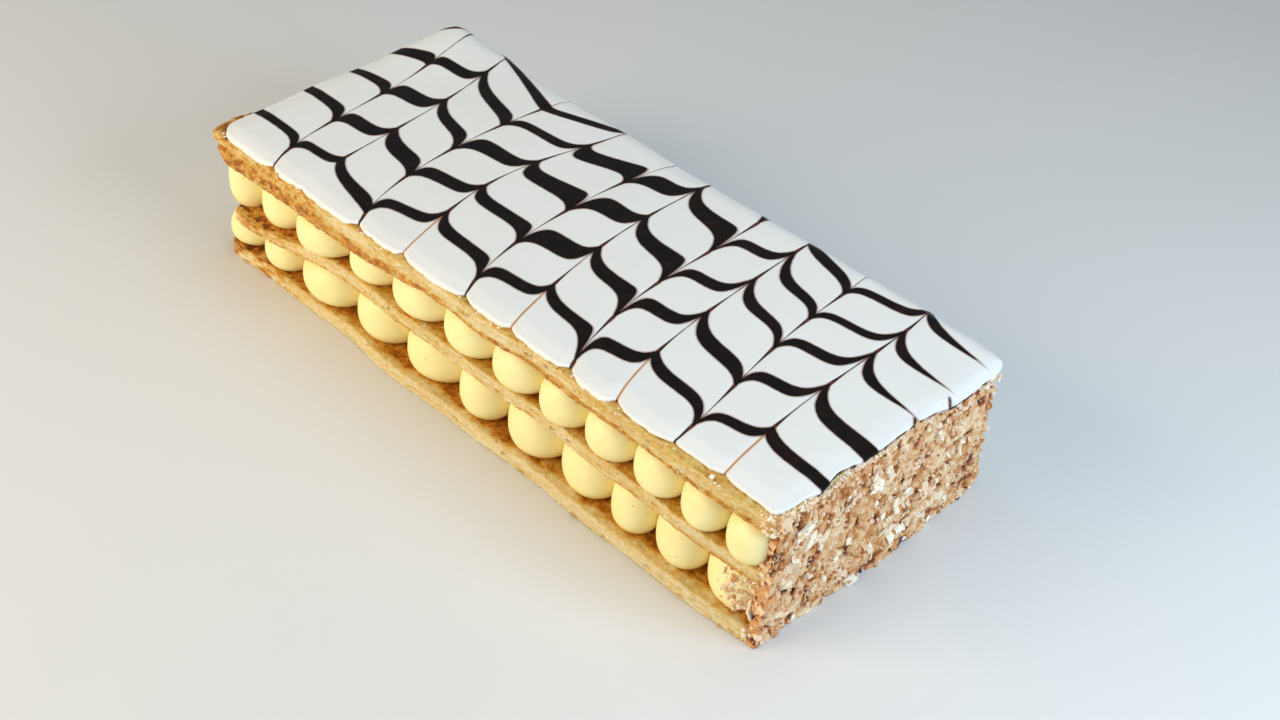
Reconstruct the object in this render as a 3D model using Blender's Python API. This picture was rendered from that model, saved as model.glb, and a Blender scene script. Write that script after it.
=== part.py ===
"""A whole mille feuille: three sheets of puff pastry, two layers of cream piped as balls,
an iced top and a coat of pastry crumbs on one short end.

Sizes are in millimetres and turned into metres as the meshes are made. +X runs along the
pastry towards its crumbed end, +Z is up, and the origin lies under the middle of the base.
"""
import math

import bmesh
import bpy
from mathutils import Vector, noise

MM = 0.001
GAP = 0.3                     # left between pieces that touch

# Whole pastry
LENGTH = 267.8
WIDTH = 123.8

# Heights of the layers, from the base up
BASE_TOP = 5.5
MIDDLE_UNDER = 26.0
MIDDLE_TOP = 31.0
UPPER_UNDER = 47.5
UPPER_TOP = 53.5
ICING_TOP = 55.6

# Ends and long edges of the sheets
CRUMBED_END = 127.1           # all three sheets were cut off flush here
BASE_OPEN_END = -128.0
MIDDLE_OPEN_END = -120.5
UPPER_OPEN_END = -130.0
BASE_EDGE = 56.2
MIDDLE_EDGE = 56.6
UPPER_EDGE = 57.8
SHEET_CORNER = 5.0
UPPER_CORNER = 3.0

# Towards the open end the middle sheet bows down and its front corner sags, the upper one
# hangs over its front edge and its back corner lifts
BOW_DEPTH = 5.5
BOW_START = -40.0
BOW_LENGTH = 85.0
SAG_DEPTH = 3.2
SAG_START = -70.0
SAG_LENGTH = 38.0
SAG_INNER = 30.0              # the sag starts this far from the middle plane
SAG_WIDTH = 26.0
HANG_DEPTH = 3.0
HANG_START = -15.0
HANG_LENGTH = 45.0
HANG_BULGE = 2.8              # how far the hanging edge also stands forward
LIFT_HEIGHT = 2.4
LIFT_START = -88.0
LIFT_LENGTH = 42.0

# Icing, which runs a little past the upper sheet in lobes
ICING_OPEN_END = -127.4
ICING_CRUMBED_END = 126.0
ICING_EDGE = 58.2
ICING_LOBE = 25.5             # one lobe between two strokes of the comb
ICING_LOBE_DEPTH = 1.4
ICING_CORNER = 6.0
ICING_SKEW = 6.5              # the open end leans out towards the back
ICING_LIP = 4.6               # overhang above the crumbs, on the back half
ICING_BACK_SWELL = 3.0        # the back edge swells out towards the crumbed end

# Piped cream balls of the front rows, from the open end to the crumbed end: diameters
UPPER_BALLS = [17.5, 22.5, 27, 22.3, 25.3, 23.6, 21.2, 19.8, 19.8, 19.5, 17.6, 17]
LOWER_BALLS = [19, 20, 29.5, 25.5, 28, 20.7, 25.7, 23.3, 17.8, 20.7, 22.7]
UPPER_SET_BACK = [3.2, 2.9, -1.5, 1.2]  # how far the first balls sit behind the row's front
LOWER_SET_BACK = [0, 0, -1.5, 0]
FIRST_BALL = -121.6           # centre of each row's first ball
UPPER_BALL_FRONT = 59.6       # how far the balls bulge out, from the middle plane
LOWER_BALL_FRONT = 56.0
END_BALL = 20.5               # balls across the open end, between the two long rows
END_BALL_PITCH = 23.4
END_BALL_COUNT = 3
CORE_EDGE = 27.0              # half width of the cream behind the balls
CORE_OPEN_END = -107.0

# Crumb coat: thickness at the foot, at the foot's front corner, and under the icing
COAT_INNER = CRUMBED_END + GAP
COAT_FOOT = LENGTH / 2 - COAT_INNER
COAT_FRONT_FOOT = 2.4
COAT_HEAD = 1.8
COAT_EDGE = 55.0
COAT_BACK_SPREAD = 5.3        # the foot spreads past the back edge
COAT_LUMP = 1.1
COAT_LUMP_SIZE = 9.0


def ease(t):
    """Smooth step from 0 to 1."""
    t = min(max(t, 0.0), 1.0)
    return t * t * (3 - 2 * t)


def ripple(s, phase):
    """Slight waviness of a hand-cut edge."""
    return 0.5 * math.sin(s / 17.0 + phase) + 0.35 * math.sin(s / 7.3 + 2.1 * phase)


def bow(x, y):
    corner = ease((SAG_START - x) / SAG_LENGTH) * ease((-y - SAG_INNER) / SAG_WIDTH)
    return -BOW_DEPTH * ease((BOW_START - x) / BOW_LENGTH) - SAG_DEPTH * corner


def hang(x, y):
    along = ease((HANG_START - x) / HANG_LENGTH)
    across = ease((-y - 12.0) / 32.0)
    return along * across


def lift(x, y):
    return LIFT_HEIGHT * ease((LIFT_START - x) / LIFT_LENGTH) * ease((y - 10.0) / 45.0)


def middle_under(x, y):
    return MIDDLE_UNDER + bow(x, y)


def middle_top(x, y):
    return MIDDLE_TOP + bow(x, y)


def upper_under(x, y):
    return UPPER_UNDER - HANG_DEPTH * hang(x, y) + lift(x, y)


def upper_top(x, y):
    return UPPER_TOP + lift(x, y)


def icing_under(x, y):
    return upper_top(x, y) + GAP


def icing_top(x, y):
    return ICING_TOP + lift(x, y)


def level(height):
    """A flat surface, for the same use as the sloping ones above."""
    return lambda x, y: height


def material(name, colour, roughness):
    made = bpy.data.materials.new(name)
    made.use_nodes = True
    shader = made.node_tree.nodes["Principled BSDF"]
    shader.inputs["Base Color"].default_value = (*colour, 1.0)
    shader.inputs["Roughness"].default_value = roughness
    shader.inputs["Metallic"].default_value = 0.0
    return made


def add_piece(name, bm, surface, centre=(0.0, 0.0, 0.0)):
    """Turn a mesh built in millimetres into an object whose origin is at centre."""
    bmesh.ops.translate(bm, verts=bm.verts, vec=-Vector(centre))
    bmesh.ops.scale(bm, verts=bm.verts, vec=(MM, MM, MM))
    bmesh.ops.recalc_face_normals(bm, faces=bm.faces)
    mesh = bpy.data.meshes.new(name)
    bm.to_mesh(mesh)
    bm.free()
    mesh.materials.append(surface)
    piece = bpy.data.objects.new(name, mesh)
    piece.location = Vector(centre) * MM
    piece.parent = whole
    parts.objects.link(piece)
    return piece


def round_corner(x, y, centre_x, half_x, half_y, radius):
    """Pull a point near the corner of a rectangle onto a round corner."""
    over_x = abs(x - centre_x) - (half_x - radius)
    over_y = abs(y) - (half_y - radius)
    if over_x <= 0 or over_y <= 0:
        return x, y
    shrink = max(over_x, over_y) / math.hypot(over_x, over_y)
    new_x = centre_x + math.copysign(half_x - radius + over_x * shrink, x - centre_x)
    new_y = math.copysign(half_y - radius + over_y * shrink, y)
    return new_x, new_y


def slab(name, surface, cells, start, end, half_width, under, over, edge, radius):
    """A sheet between the heights under(x, y) and over(x, y), with its outline moved by edge()."""
    centre_x = (start + end) / 2
    half_x = (end - start) / 2
    bm = bmesh.new()
    bmesh.ops.create_grid(bm, x_segments=cells[0], y_segments=cells[1], size=1.0)
    raised = bmesh.ops.extrude_face_region(bm, geom=bm.faces[:])
    upper = {item for item in raised["geom"] if isinstance(item, bmesh.types.BMVert)}
    for vert in bm.verts:
        x = centre_x + vert.co.x * half_x
        y = vert.co.y * half_width
        x, y = round_corner(x, y, centre_x, half_x, half_width, radius)
        x, y = edge(x, y, vert.co.x, vert.co.y)
        vert.co = (x, y, over(x, y) if vert in upper else under(x, y))
    return add_piece(name, bm, surface)


def sheet_edge(phase):
    """Edge of a baked sheet: wavy on its long sides and its open end, straight at the cut end."""
    def moved(x, y, u, v):
        y += v ** 8 * math.copysign(1.0, v) * ripple(x, phase)
        if u < 0:
            x += u ** 8 * ripple(y, phase + 2.0)
        return x, y
    return moved


def upper_edge(x, y, u, v):
    """The upper sheet's edge stands forward where it hangs."""
    x, y = sheet_edge(2.4)(x, y, u, v)
    if v < 0:
        y -= v ** 8 * HANG_BULGE * hang(x, -UPPER_EDGE)
    return x, y


def icing_edge(x, y, u, v):
    """Lobes along the long sides, a skew open end, and a lip over the crumbs on the back half."""
    lobe = abs(math.sin(math.pi * (x - 5.0) / ICING_LOBE))
    outward = v ** 8 * math.copysign(1.0, v)
    y += outward * ICING_LOBE_DEPTH * (lobe - 0.5)
    if v < 0:
        y += outward * HANG_BULGE * hang(x, -UPPER_EDGE)
    else:
        y += outward * ICING_BACK_SWELL * ease((x - 5.0) / 45.0)
    if u < 0:
        x -= u ** 8 * ICING_SKEW * (0.5 + y / WIDTH)
    else:
        x += u ** 8 * ICING_LIP * ease((y + 10.0) / 40.0)
    return x, y


def straight(x, y, u, v):
    """The edge of a piece that is left a plain rectangle."""
    return x, y


def ball_girth(height):
    """Radius of a pressed ball, as a part of its widest, at a height from 0 to 1."""
    squareness = 2.5
    reach = abs(height - 0.48) / 0.56
    return (1 - reach ** squareness) ** (1 / squareness)


def cream_ball(name, x, y, diameter, under, over):
    """A piped ball pressed flat between two sheets."""
    bm = bmesh.new()
    bmesh.ops.create_uvsphere(bm, u_segments=12, v_segments=6, radius=1.0)
    first_ring = math.cos(math.pi / 6)
    for vert in bm.verts:
        height = 0.5 + 0.5 * min(max(vert.co.z / first_ring, -1.0), 1.0)
        flat = Vector((vert.co.x, vert.co.y))
        if flat.length > 1e-4:
            flat = flat.normalized() * ball_girth(height) * diameter / 2
        px = x + flat.x
        py = y + flat.y
        low = under(px, py) + GAP
        high = over(px, py) - GAP
        vert.co = (px, py, low + height * (high - low))
    middle = (under(x, y) + over(x, y)) / 2
    return add_piece(name, bm, cream, (x, y, middle))


def ball_row(name, diameters, set_back, front, side, under, over):
    """A row of balls that touch, along one long side."""
    x = FIRST_BALL
    for number, diameter in enumerate(diameters, 1):
        if number > 1:
            x += (diameters[number - 2] + diameter) / 2 + GAP
        behind = set_back[number - 1] if number <= len(set_back) else 0
        y = side * (front - behind - diameter / 2)
        cream_ball(f"{name}_{number:02d}", x, y, diameter, under, over)


def crumb_coat():
    """Crumbs pressed onto the cut end: a lumpy plate, thick at its foot and thin under the icing."""
    head = UPPER_TOP - GAP
    bm = bmesh.new()
    bmesh.ops.create_grid(bm, x_segments=16, y_segments=8, size=1.0)
    raised = bmesh.ops.extrude_face_region(bm, geom=bm.faces[:])
    outer = {item for item in raised["geom"] if isinstance(item, bmesh.types.BMVert)}
    for vert in bm.verts:
        height = 0.5 + 0.5 * vert.co.y
        y = vert.co.x * COAT_EDGE + max(vert.co.x, 0.0) ** 4 * COAT_BACK_SPREAD * (1 - height)
        z = head * height
        x = COAT_INNER
        if vert in outer:
            foot = COAT_FRONT_FOOT + (COAT_FOOT - COAT_FRONT_FOOT) * ease((y + COAT_EDGE) / 70.0)
            lump = noise.noise(Vector((y, z, 3.0)) / COAT_LUMP_SIZE)
            x += foot + (COAT_HEAD - foot) * height ** 1.4 + COAT_LUMP * (lump - 0.4)
            x = min(x, LENGTH / 2)
        vert.co = (x, y, z)
    return add_piece("crumb_coat", bm, crumbs)


for old in list(bpy.data.objects):
    bpy.data.objects.remove(old, do_unlink=True)

parts = bpy.data.collections.new("mille_feuille")
bpy.context.scene.collection.children.link(parts)
whole = bpy.data.objects.new("mille_feuille_origin", None)
parts.objects.link(whole)

pastry = material("baked puff pastry", (0.62, 0.36, 0.12), 0.6)
cream = material("pastry cream", (0.90, 0.76, 0.38), 0.35)
icing = material("fondant icing", (0.86, 0.85, 0.84), 0.2)
crumbs = material("pastry crumbs", (0.52, 0.32, 0.18), 0.85)

slab("pastry_bottom", pastry, (18, 8), BASE_OPEN_END, CRUMBED_END, BASE_EDGE,
     level(0.0), level(BASE_TOP), sheet_edge(0.3), SHEET_CORNER)
slab("pastry_middle", pastry, (28, 18), MIDDLE_OPEN_END, CRUMBED_END, MIDDLE_EDGE,
     middle_under, middle_top, sheet_edge(1.2), SHEET_CORNER)
slab("pastry_top", pastry, (24, 10), UPPER_OPEN_END, CRUMBED_END, UPPER_EDGE,
     upper_under, upper_top, upper_edge, UPPER_CORNER)
slab("icing", icing, (42, 10), ICING_OPEN_END, ICING_CRUMBED_END, ICING_EDGE,
     icing_under, icing_top, icing_edge, ICING_CORNER)

slab("cream_core_lower", cream, (12, 4), CORE_OPEN_END, CRUMBED_END, CORE_EDGE,
     level(BASE_TOP + GAP), lambda x, y: middle_under(x, y) - GAP, straight, 0.0)
slab("cream_core_upper", cream, (12, 4), CORE_OPEN_END, CRUMBED_END, CORE_EDGE,
     lambda x, y: middle_top(x, y) + GAP, lambda x, y: upper_under(x, y) - GAP, straight, 0.0)

for side, place in ((-1, "front"), (1, "back")):
    ball_row(f"cream_lower_{place}", LOWER_BALLS, LOWER_SET_BACK, LOWER_BALL_FRONT, side, level(BASE_TOP), middle_under)
    ball_row(f"cream_upper_{place}", UPPER_BALLS, UPPER_SET_BACK, UPPER_BALL_FRONT, side, middle_top, upper_under)
for number in range(END_BALL_COUNT):
    across = (number - (END_BALL_COUNT - 1) / 2) * END_BALL_PITCH
    cream_ball(f"cream_lower_end_{number + 1}", FIRST_BALL, across, END_BALL, level(BASE_TOP), middle_under)
    cream_ball(f"cream_upper_end_{number + 1}", FIRST_BALL, across, END_BALL, middle_top, upper_under)

crumb_coat()
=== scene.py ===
"""Looks of a whole mille feuille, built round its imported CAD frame.

Sizes are in millimetres and are turned into metres as each mesh is made. +X runs towards the
crumbed end, -Y is the front, +Z is up, and the pastry stands on z = 0.
"""
import math

import bmesh
import bpy
import numpy as np
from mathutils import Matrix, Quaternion, Vector


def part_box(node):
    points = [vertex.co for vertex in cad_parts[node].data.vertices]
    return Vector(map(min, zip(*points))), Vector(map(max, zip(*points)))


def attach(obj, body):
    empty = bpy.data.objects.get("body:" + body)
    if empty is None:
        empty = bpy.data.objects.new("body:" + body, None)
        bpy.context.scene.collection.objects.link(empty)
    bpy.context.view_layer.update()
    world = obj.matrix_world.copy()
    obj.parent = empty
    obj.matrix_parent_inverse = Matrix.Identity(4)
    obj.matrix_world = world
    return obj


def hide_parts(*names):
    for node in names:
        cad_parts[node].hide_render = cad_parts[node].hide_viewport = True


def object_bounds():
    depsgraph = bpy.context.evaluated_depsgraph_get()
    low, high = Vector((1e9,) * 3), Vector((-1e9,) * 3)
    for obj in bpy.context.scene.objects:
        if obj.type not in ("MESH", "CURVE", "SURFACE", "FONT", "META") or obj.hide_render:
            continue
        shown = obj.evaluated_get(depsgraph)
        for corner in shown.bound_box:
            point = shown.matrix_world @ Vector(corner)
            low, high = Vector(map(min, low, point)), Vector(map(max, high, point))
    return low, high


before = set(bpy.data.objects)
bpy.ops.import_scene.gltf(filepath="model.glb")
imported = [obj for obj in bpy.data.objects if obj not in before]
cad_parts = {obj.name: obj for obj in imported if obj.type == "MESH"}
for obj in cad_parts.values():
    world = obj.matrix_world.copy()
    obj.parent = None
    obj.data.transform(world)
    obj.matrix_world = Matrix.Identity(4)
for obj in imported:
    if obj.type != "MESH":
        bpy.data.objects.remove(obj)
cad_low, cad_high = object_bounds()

MM = 0.001
TABLE_HALF = 3000.0
VIEW_AIM = Vector((34.5, -8.4, 27.5))
VIEW_DISTANCE = 551.1
VIEW_AZIMUTH = math.radians(36.44)
VIEW_ELEVATION = math.radians(39.17)
VIEW_ROLL = math.radians(9.52)
VIEW_LENS = 46.27
SENSOR_WIDTH = 36.0

scene = bpy.context.scene
scene.view_settings.view_transform = "Standard"


def add_node(tree, kind, inputs=None, **settings):
    """Add a node and set it up: a socket given as an input is linked, anything else is its value."""
    made = tree.nodes.new(kind)
    for name, value in settings.items():
        setattr(made, name, value)
    for name, value in (inputs or {}).items():
        if isinstance(value, bpy.types.NodeSocket):
            tree.links.new(value, made.inputs[name])
        else:
            made.inputs[name].default_value = value
    return made


def srgb(red, green, blue):
    """A colour given as 0 to 255 on screen, in the linear values that shaders take."""
    def linear(value):
        value /= 255.0
        return value / 12.92 if value <= 0.04045 else ((value + 0.055) / 1.055) ** 2.4
    return (linear(red), linear(green), linear(blue), 1.0)


def new_material(name):
    """A material with its node tree and its Principled shader."""
    made = bpy.data.materials.new(name)
    made.use_nodes = True
    return made, made.node_tree, made.node_tree.nodes["Principled BSDF"]


def add_light(name, toward, distance, size, power, colour):
    """A square soft light, placed in a direction from the pastry and facing it."""
    data = bpy.data.lights.new(name, "AREA")
    data.shape = "SQUARE"
    data.size = size * MM
    data.energy = power
    data.color = colour
    light = bpy.data.objects.new(name, data)
    direction = Vector(toward).normalized()
    light.location = direction * distance * MM
    light.rotation_mode = "QUATERNION"
    light.rotation_quaternion = direction.to_track_quat("Z", "Y")
    scene.collection.objects.link(light)


bm = bmesh.new()
bmesh.ops.create_grid(bm, x_segments=1, y_segments=1, size=TABLE_HALF * MM)
table_mesh = bpy.data.meshes.new("table")
bm.to_mesh(table_mesh)
bm.free()
table = bpy.data.objects.new("table", table_mesh)
scene.collection.objects.link(table)
table_finish, table_tree, table_shader = new_material("pale table")
table_shader.inputs["Base Color"].default_value = srgb(222, 220, 216)
table_shader.inputs["Roughness"].default_value = 0.7
table_mesh.materials.append(table_finish)

add_light("window", (-0.38, -0.86, 0.40), 900, 600, 6.9, (1.0, 0.85, 0.62))
add_light("far_window", (0.93, 0.08, 0.50), 700, 440, 3.7, (0.62, 0.80, 1.0))
add_light("ceiling", (0.05, 0.12, 1.0), 1300, 1100, 4.4, (0.90, 0.96, 1.0))

world = bpy.data.worlds.new("room")
world.use_nodes = True
world.node_tree.nodes["Background"].inputs["Color"].default_value = (0.82, 0.91, 1.0, 1.0)
world.node_tree.nodes["Background"].inputs["Strength"].default_value = 0.27
scene.world = world

camera_data = bpy.data.cameras.new("view")
camera_data.lens = VIEW_LENS
camera_data.sensor_width = SENSOR_WIDTH
camera = bpy.data.objects.new("view", camera_data)
view_back = Vector((math.sin(VIEW_AZIMUTH) * math.cos(VIEW_ELEVATION),
                    -math.cos(VIEW_AZIMUTH) * math.cos(VIEW_ELEVATION),
                    math.sin(VIEW_ELEVATION)))
camera.location = (VIEW_AIM + view_back * VIEW_DISTANCE) * MM
camera.rotation_mode = "QUATERNION"
camera.rotation_quaternion = (view_back.to_track_quat("Z", "Y")
                              @ Quaternion((0.0, 0.0, 1.0), VIEW_ROLL))
scene.collection.objects.link(camera)
scene.camera = camera

# ----------------------------------------------------------------------------------------------
# Three sheets of puff pastry, baked under a weight until crisp: pale laminated edges between
# caramelised skins. The middle one bows down towards the open end, and the top one hangs over
# its front edge and lifts at its back open corner.
# ----------------------------------------------------------------------------------------------
BASE_TOP = 5.5
MIDDLE_UNDER = 26.0
MIDDLE_TOP = 31.0
UPPER_UNDER = 47.5
UPPER_TOP = 53.5
CRUMBED_END = 127.1
BASE_OPEN_END = -128.0
MIDDLE_OPEN_END = -120.5
UPPER_OPEN_END = -130.0
BASE_EDGE = 56.2
MIDDLE_EDGE = 56.6
UPPER_EDGE = 57.8

RING_ACROSS = 224             # columns of vertices along each short side
RING_ALONG = 520              # and along each long side
EDGE_ROWS = 34
MARGIN = 16.0                 # how far in the fine mesh reaches, over and under a sheet
UNDER_INSETS = (16.0, 11.0, 7.0, 4.0, 2.0, 0.9)
TOP_INSETS = (0.5, 1.1, 1.8, 2.6, 3.4, 4.2, 5.1, 6.0, 7.0, 8.0, 9.1, 10.3, 11.6, 13.0, 14.5, 16.0)
FILL_STEP = 8


def ease(t):
    """Smooth step from 0 to 1."""
    t = np.clip(t, 0.0, 1.0)
    return t * t * (3 - 2 * t)


def bow(x, y):
    """The middle sheet's slope towards the open end, and the sag of its front corner there."""
    sag = 3.2 * ease((-70.0 - x) / 38.0) * ease((-y - 30.0) / 26.0)
    return -5.5 * ease((-40.0 - x) / 85.0) - sag


def hang(x, y):
    return ease((-15.0 - x) / 45.0) * ease((-y - 12.0) / 32.0)


def lift(x, y):
    return 2.4 * ease((-88.0 - x) / 42.0) * ease((y - 10.0) / 45.0)


def base_under(x, y):
    return 0.0 * x


def base_top(x, y):
    return BASE_TOP + 0.0 * x


def middle_under(x, y):
    return MIDDLE_UNDER + bow(x, y)


def middle_top(x, y):
    return MIDDLE_TOP + bow(x, y)


def upper_under(x, y):
    return UPPER_UNDER - 3.0 * hang(x, y) + lift(x, y)


def upper_top(x, y):
    return UPPER_TOP + lift(x, y)


def mottle(seed, a, b, size_a, size_b):
    """Smooth random field from -1 to 1 over a and b, with lumps of size_a by size_b."""
    table_side = 257
    values = np.random.default_rng(seed).uniform(-1.0, 1.0, (table_side, table_side))
    a = np.asarray(a) / size_a
    b = np.asarray(b) / size_b
    i = np.floor(a).astype(int)
    j = np.floor(b).astype(int)
    ta = ease(a - i)
    tb = ease(b - j)
    near = values[i % table_side, j % table_side] * (1 - ta) + values[(i + 1) % table_side, j % table_side] * ta
    far = (values[i % table_side, (j + 1) % table_side] * (1 - ta)
           + values[(i + 1) % table_side, (j + 1) % table_side] * ta)
    return near * (1 - tb) + far * tb


def grid_faces(rows, columns, closed):
    """Quads of a grid numbered row by row; closed joins its last column to its first."""
    ids = np.arange(rows * columns).reshape(rows, columns)
    if closed:
        ids = np.concatenate([ids, ids[:, :1]], axis=1)
    quads = np.stack([ids[:-1, :-1], ids[:-1, 1:], ids[1:, 1:], ids[1:, :-1]], axis=-1)
    return quads.reshape(-1, 4).tolist()


def loop_faces(first, second):
    """Quads between two closed loops with the same number of vertices."""
    return np.stack([first, np.roll(first, -1), np.roll(second, -1), second], axis=-1).tolist()


def coarse_fill(points, faces, ring, across, down, step):
    """Close a loop of vertices with a coarse grid stretched across it, which shares them."""
    ids = np.zeros((down // step + 1, across // step + 1), int)
    wrapped = np.append(ring, ring[0])
    ids[0] = wrapped[0:across + 1:step]
    ids[:, -1] = wrapped[across:across + down + 1:step]
    ids[-1, ::-1] = wrapped[across + down:2 * across + down + 1:step]
    ids[::-1, 0] = wrapped[2 * across + down::step]
    u = np.linspace(0, 1, ids.shape[1])[None, :, None]
    v = np.linspace(0, 1, ids.shape[0])[:, None, None]
    rows = (1 - v) * points[ids[0]][None] + v * points[ids[-1]][None]
    columns = (1 - u) * points[ids[:, 0]][:, None] + u * points[ids[:, -1]][:, None]
    corners = ((1 - v) * ((1 - u) * points[ids[0, 0]] + u * points[ids[0, -1]])
               + v * ((1 - u) * points[ids[-1, 0]] + u * points[ids[-1, -1]]))
    inner = (rows + columns - corners)[1:-1, 1:-1].reshape(-1, 3)
    ids[1:-1, 1:-1] = (len(points) + np.arange(len(inner))).reshape(ids.shape[0] - 2, -1)
    last_row = ids.shape[0] - 2
    last_column = ids.shape[1] - 2
    for row in range(last_row + 1):
        for column in range(last_column + 1):
            face = [ids[row, column]]
            if row == 0:
                face += list(wrapped[column * step + 1:(column + 1) * step])
            face.append(ids[row, column + 1])
            if column == last_column:
                face += list(wrapped[across + row * step + 1:across + (row + 1) * step])
            face.append(ids[row + 1, column + 1])
            if row == last_row:
                start = across + down + (last_column - column) * step
                face += list(wrapped[start + 1:start + step])
            face.append(ids[row + 1, column])
            if column == 0:
                start = 2 * across + down + (last_row - row) * step
                face += list(wrapped[start + 1:start + step])
            faces.append([int(vertex) for vertex in face])
    return np.concatenate([points, inner]), faces


def make_piece(name, points, faces, finish, fields=None, smooth=True):
    """A closed mesh from points in millimetres, facing outwards, with its named float fields."""
    mesh = bpy.data.meshes.new(name)
    mesh.from_pydata((np.asarray(points) * MM).tolist(), [], faces)
    bm = bmesh.new()
    bm.from_mesh(mesh)
    bmesh.ops.recalc_face_normals(bm, faces=bm.faces)
    bm.to_mesh(mesh)
    bm.free()
    mesh.polygons.foreach_set("use_smooth", [smooth] * len(mesh.polygons))
    for field, values in (fields or {}).items():
        padded = np.full(len(points), float(values[-1]))
        padded[:len(values)] = values
        mesh.attributes.new(field, "FLOAT", "POINT").data.foreach_set("value", padded.astype(np.float32))
    mesh.materials.append(finish)
    piece = bpy.data.objects.new(name, mesh)
    scene.collection.objects.link(piece)
    return piece


def cut_wave(s, phase):
    """Slight waviness of a hand-cut edge."""
    return 0.5 * np.sin(s / 17.0 + phase) + 0.35 * np.sin(s / 7.3 + 2.1 * phase)


def laminated(seed, along, height, leaves):
    """How far a baked edge stands out: thin wavy leaves, broken flakes and grains."""
    warp = 0.9 * mottle(seed, along, height, 11.0, 3.0) + 0.35 * mottle(seed + 1, along, height, 3.1, 2.0)
    leaf = np.sin(2 * np.pi * (height / leaves + warp))
    strength = 0.5 + 0.5 * mottle(seed + 2, along, height, 3.0, 1.2)
    flakes = np.maximum(mottle(seed + 3, along, height, 1.8, 0.45) - 0.25, 0.0)
    grains = mottle(seed + 5, along, height, 0.9, 0.35)
    return 0.14 * leaf * strength + 0.70 * flakes + 0.20 * grains


def make_sheet(name, start, end, half_width, corner, under, over, skins, leaves, seed, shape):
    """Rings of vertices round a sheet: in over its underside, up its edge, and in over its top."""
    half = np.array([(end - start) / 2, half_width])
    middle = (start + end) / 2
    a = np.linspace(-1, 1, RING_ACROSS, endpoint=False)
    b = np.linspace(1, -1, RING_ALONG, endpoint=False)
    border = np.concatenate([np.stack([1 + 0 * a, a], 1), np.stack([b, 1 + 0 * b], 1),
                             np.stack([-1 + 0 * a, -a], 1), np.stack([-b, -1 + 0 * b], 1)]) * half
    core = np.clip(border, corner - half, half - corner)
    out = (border - core) / np.linalg.norm(border - core, axis=1)[:, None]
    rim = core + corner * out
    inner = border * (half - MARGIN) / half
    along = np.cumsum(np.linalg.norm(rim - np.roll(rim, 1, axis=0), axis=1))
    free = 1 - ease((out[:, 0] - 0.2) / 0.5)            # 0 on the cut end under the crumbs
    wave = (out[:, 1] ** 2 * cut_wave(rim[:, 0] + middle, seed * 0.3)
            + np.minimum(out[:, 0], 0) ** 2 * cut_wave(rim[:, 1], seed * 0.3 + 2.0))

    rows = []
    tones = []

    def add_row(inset, height, side):
        """One ring: side is -1 on the underside, 0 on the edge and 1 on top."""
        thick = over(rim[:, 0] + middle, rim[:, 1]) - under(rim[:, 0] + middle, rim[:, 1])
        level = height * thick
        reach = laminated(seed, along, level, leaves) if side == 0 else laminated(seed, along, level, leaves) * 0.3
        rounding = 0.55 * (1 - np.sqrt(1 - np.clip((abs(2 * height - 1) - 0.75) / 0.25, 0, 1) ** 2 * 0.99))
        outward = (wave + reach * free - rounding) * (1 - inset / MARGIN)
        flat = rim + (inner - rim) * inset / MARGIN + out * outward[:, None]
        x = flat[:, 0] + middle
        y = flat[:, 1]
        x, y, down, sunk = shape(x, y, out, height, inset, along)
        low = under(x, y) - down
        high = over(x, y) - sunk
        bubbles = (0.20 * mottle(seed + 11, x, y, 2.6, 2.6) + 0.14 * mottle(seed + 12, x, y, 1.1, 1.1)
                   - 0.06) * side * ease(inset / 1.6)
        z = low + height * (high - low) + bubbles
        tone = skins(height, side, x, y, along, reach)
        rows.append(np.stack([x, y, z], axis=1))
        tones.append(tone)

    for inset in UNDER_INSETS:
        add_row(inset, 0.0, -1)
    for height in np.linspace(0.0, 1.0, EDGE_ROWS):
        add_row(0.0, height, 0)
    for inset in TOP_INSETS:
        add_row(inset, 1.0, 1)
    columns = len(rim)
    points = np.concatenate(rows)
    faces = grid_faces(len(rows), columns, closed=True)
    first = np.arange(columns)
    points, faces = coarse_fill(points, faces, first, RING_ACROSS, RING_ALONG, FILL_STEP)
    last = first + columns * (len(rows) - 1)
    points, faces = coarse_fill(points, faces, last, RING_ACROSS, RING_ALONG, FILL_STEP)
    points[:, 2] = np.maximum(points[:, 2], 0.0)
    return make_piece(name, points, faces, pastry_finish, {"tone": np.concatenate(tones)})


def open_end_browning(x):
    """The sheets browned more towards their uncut open end."""
    return ease((-80.0 - x) / 26.0)


def streaks(seed, along, height):
    """Fine colour bands along a baked edge, one leaf high."""
    return mottle(seed, along, height, 14.0, 0.12) + 0.7 * mottle(seed + 1, along, height, 4.0, 0.08)


def base_skins(height, side, x, y, along, reach):
    """Tone of the bottom sheet: pale granular edge, glossy amber top that is paler near its edge."""
    if side == 0:
        # The reach term paints shade: the edge is darker where its leaves sink in and paler where they stand out
        edge = 0.14 + 0.13 * streaks(72, along, height) - 0.22 * np.clip(reach, -0.7, 0.5)
        edge += 0.22 * ease((0.10 - height) / 0.10) + 0.14 * ease((height - 0.86) / 0.14)
        return edge + 0.50 * open_end_browning(x) * (0.6 + 1.1 * mottle(73, along, height * 5.5, 2.6, 1.6))
    patches = mottle(71, x, y, 6.0, 4.0) + 0.6 * mottle(74, x, y, 1.9, 1.5)
    freckles = np.maximum(mottle(75, x, y, 1.7, 1.7) - 0.1, 0.0) * (0.15 + 0.6 * open_end_browning(x))
    rim = ease((np.abs(y) - BASE_EDGE + 5.0 + 1.5 * mottle(76, x, 0, 5.0, 1.0)) / 3.5)
    return 0.68 + 0.14 * patches - 0.50 * rim * (1 - 0.6 * open_end_browning(x)) + freckles


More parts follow.
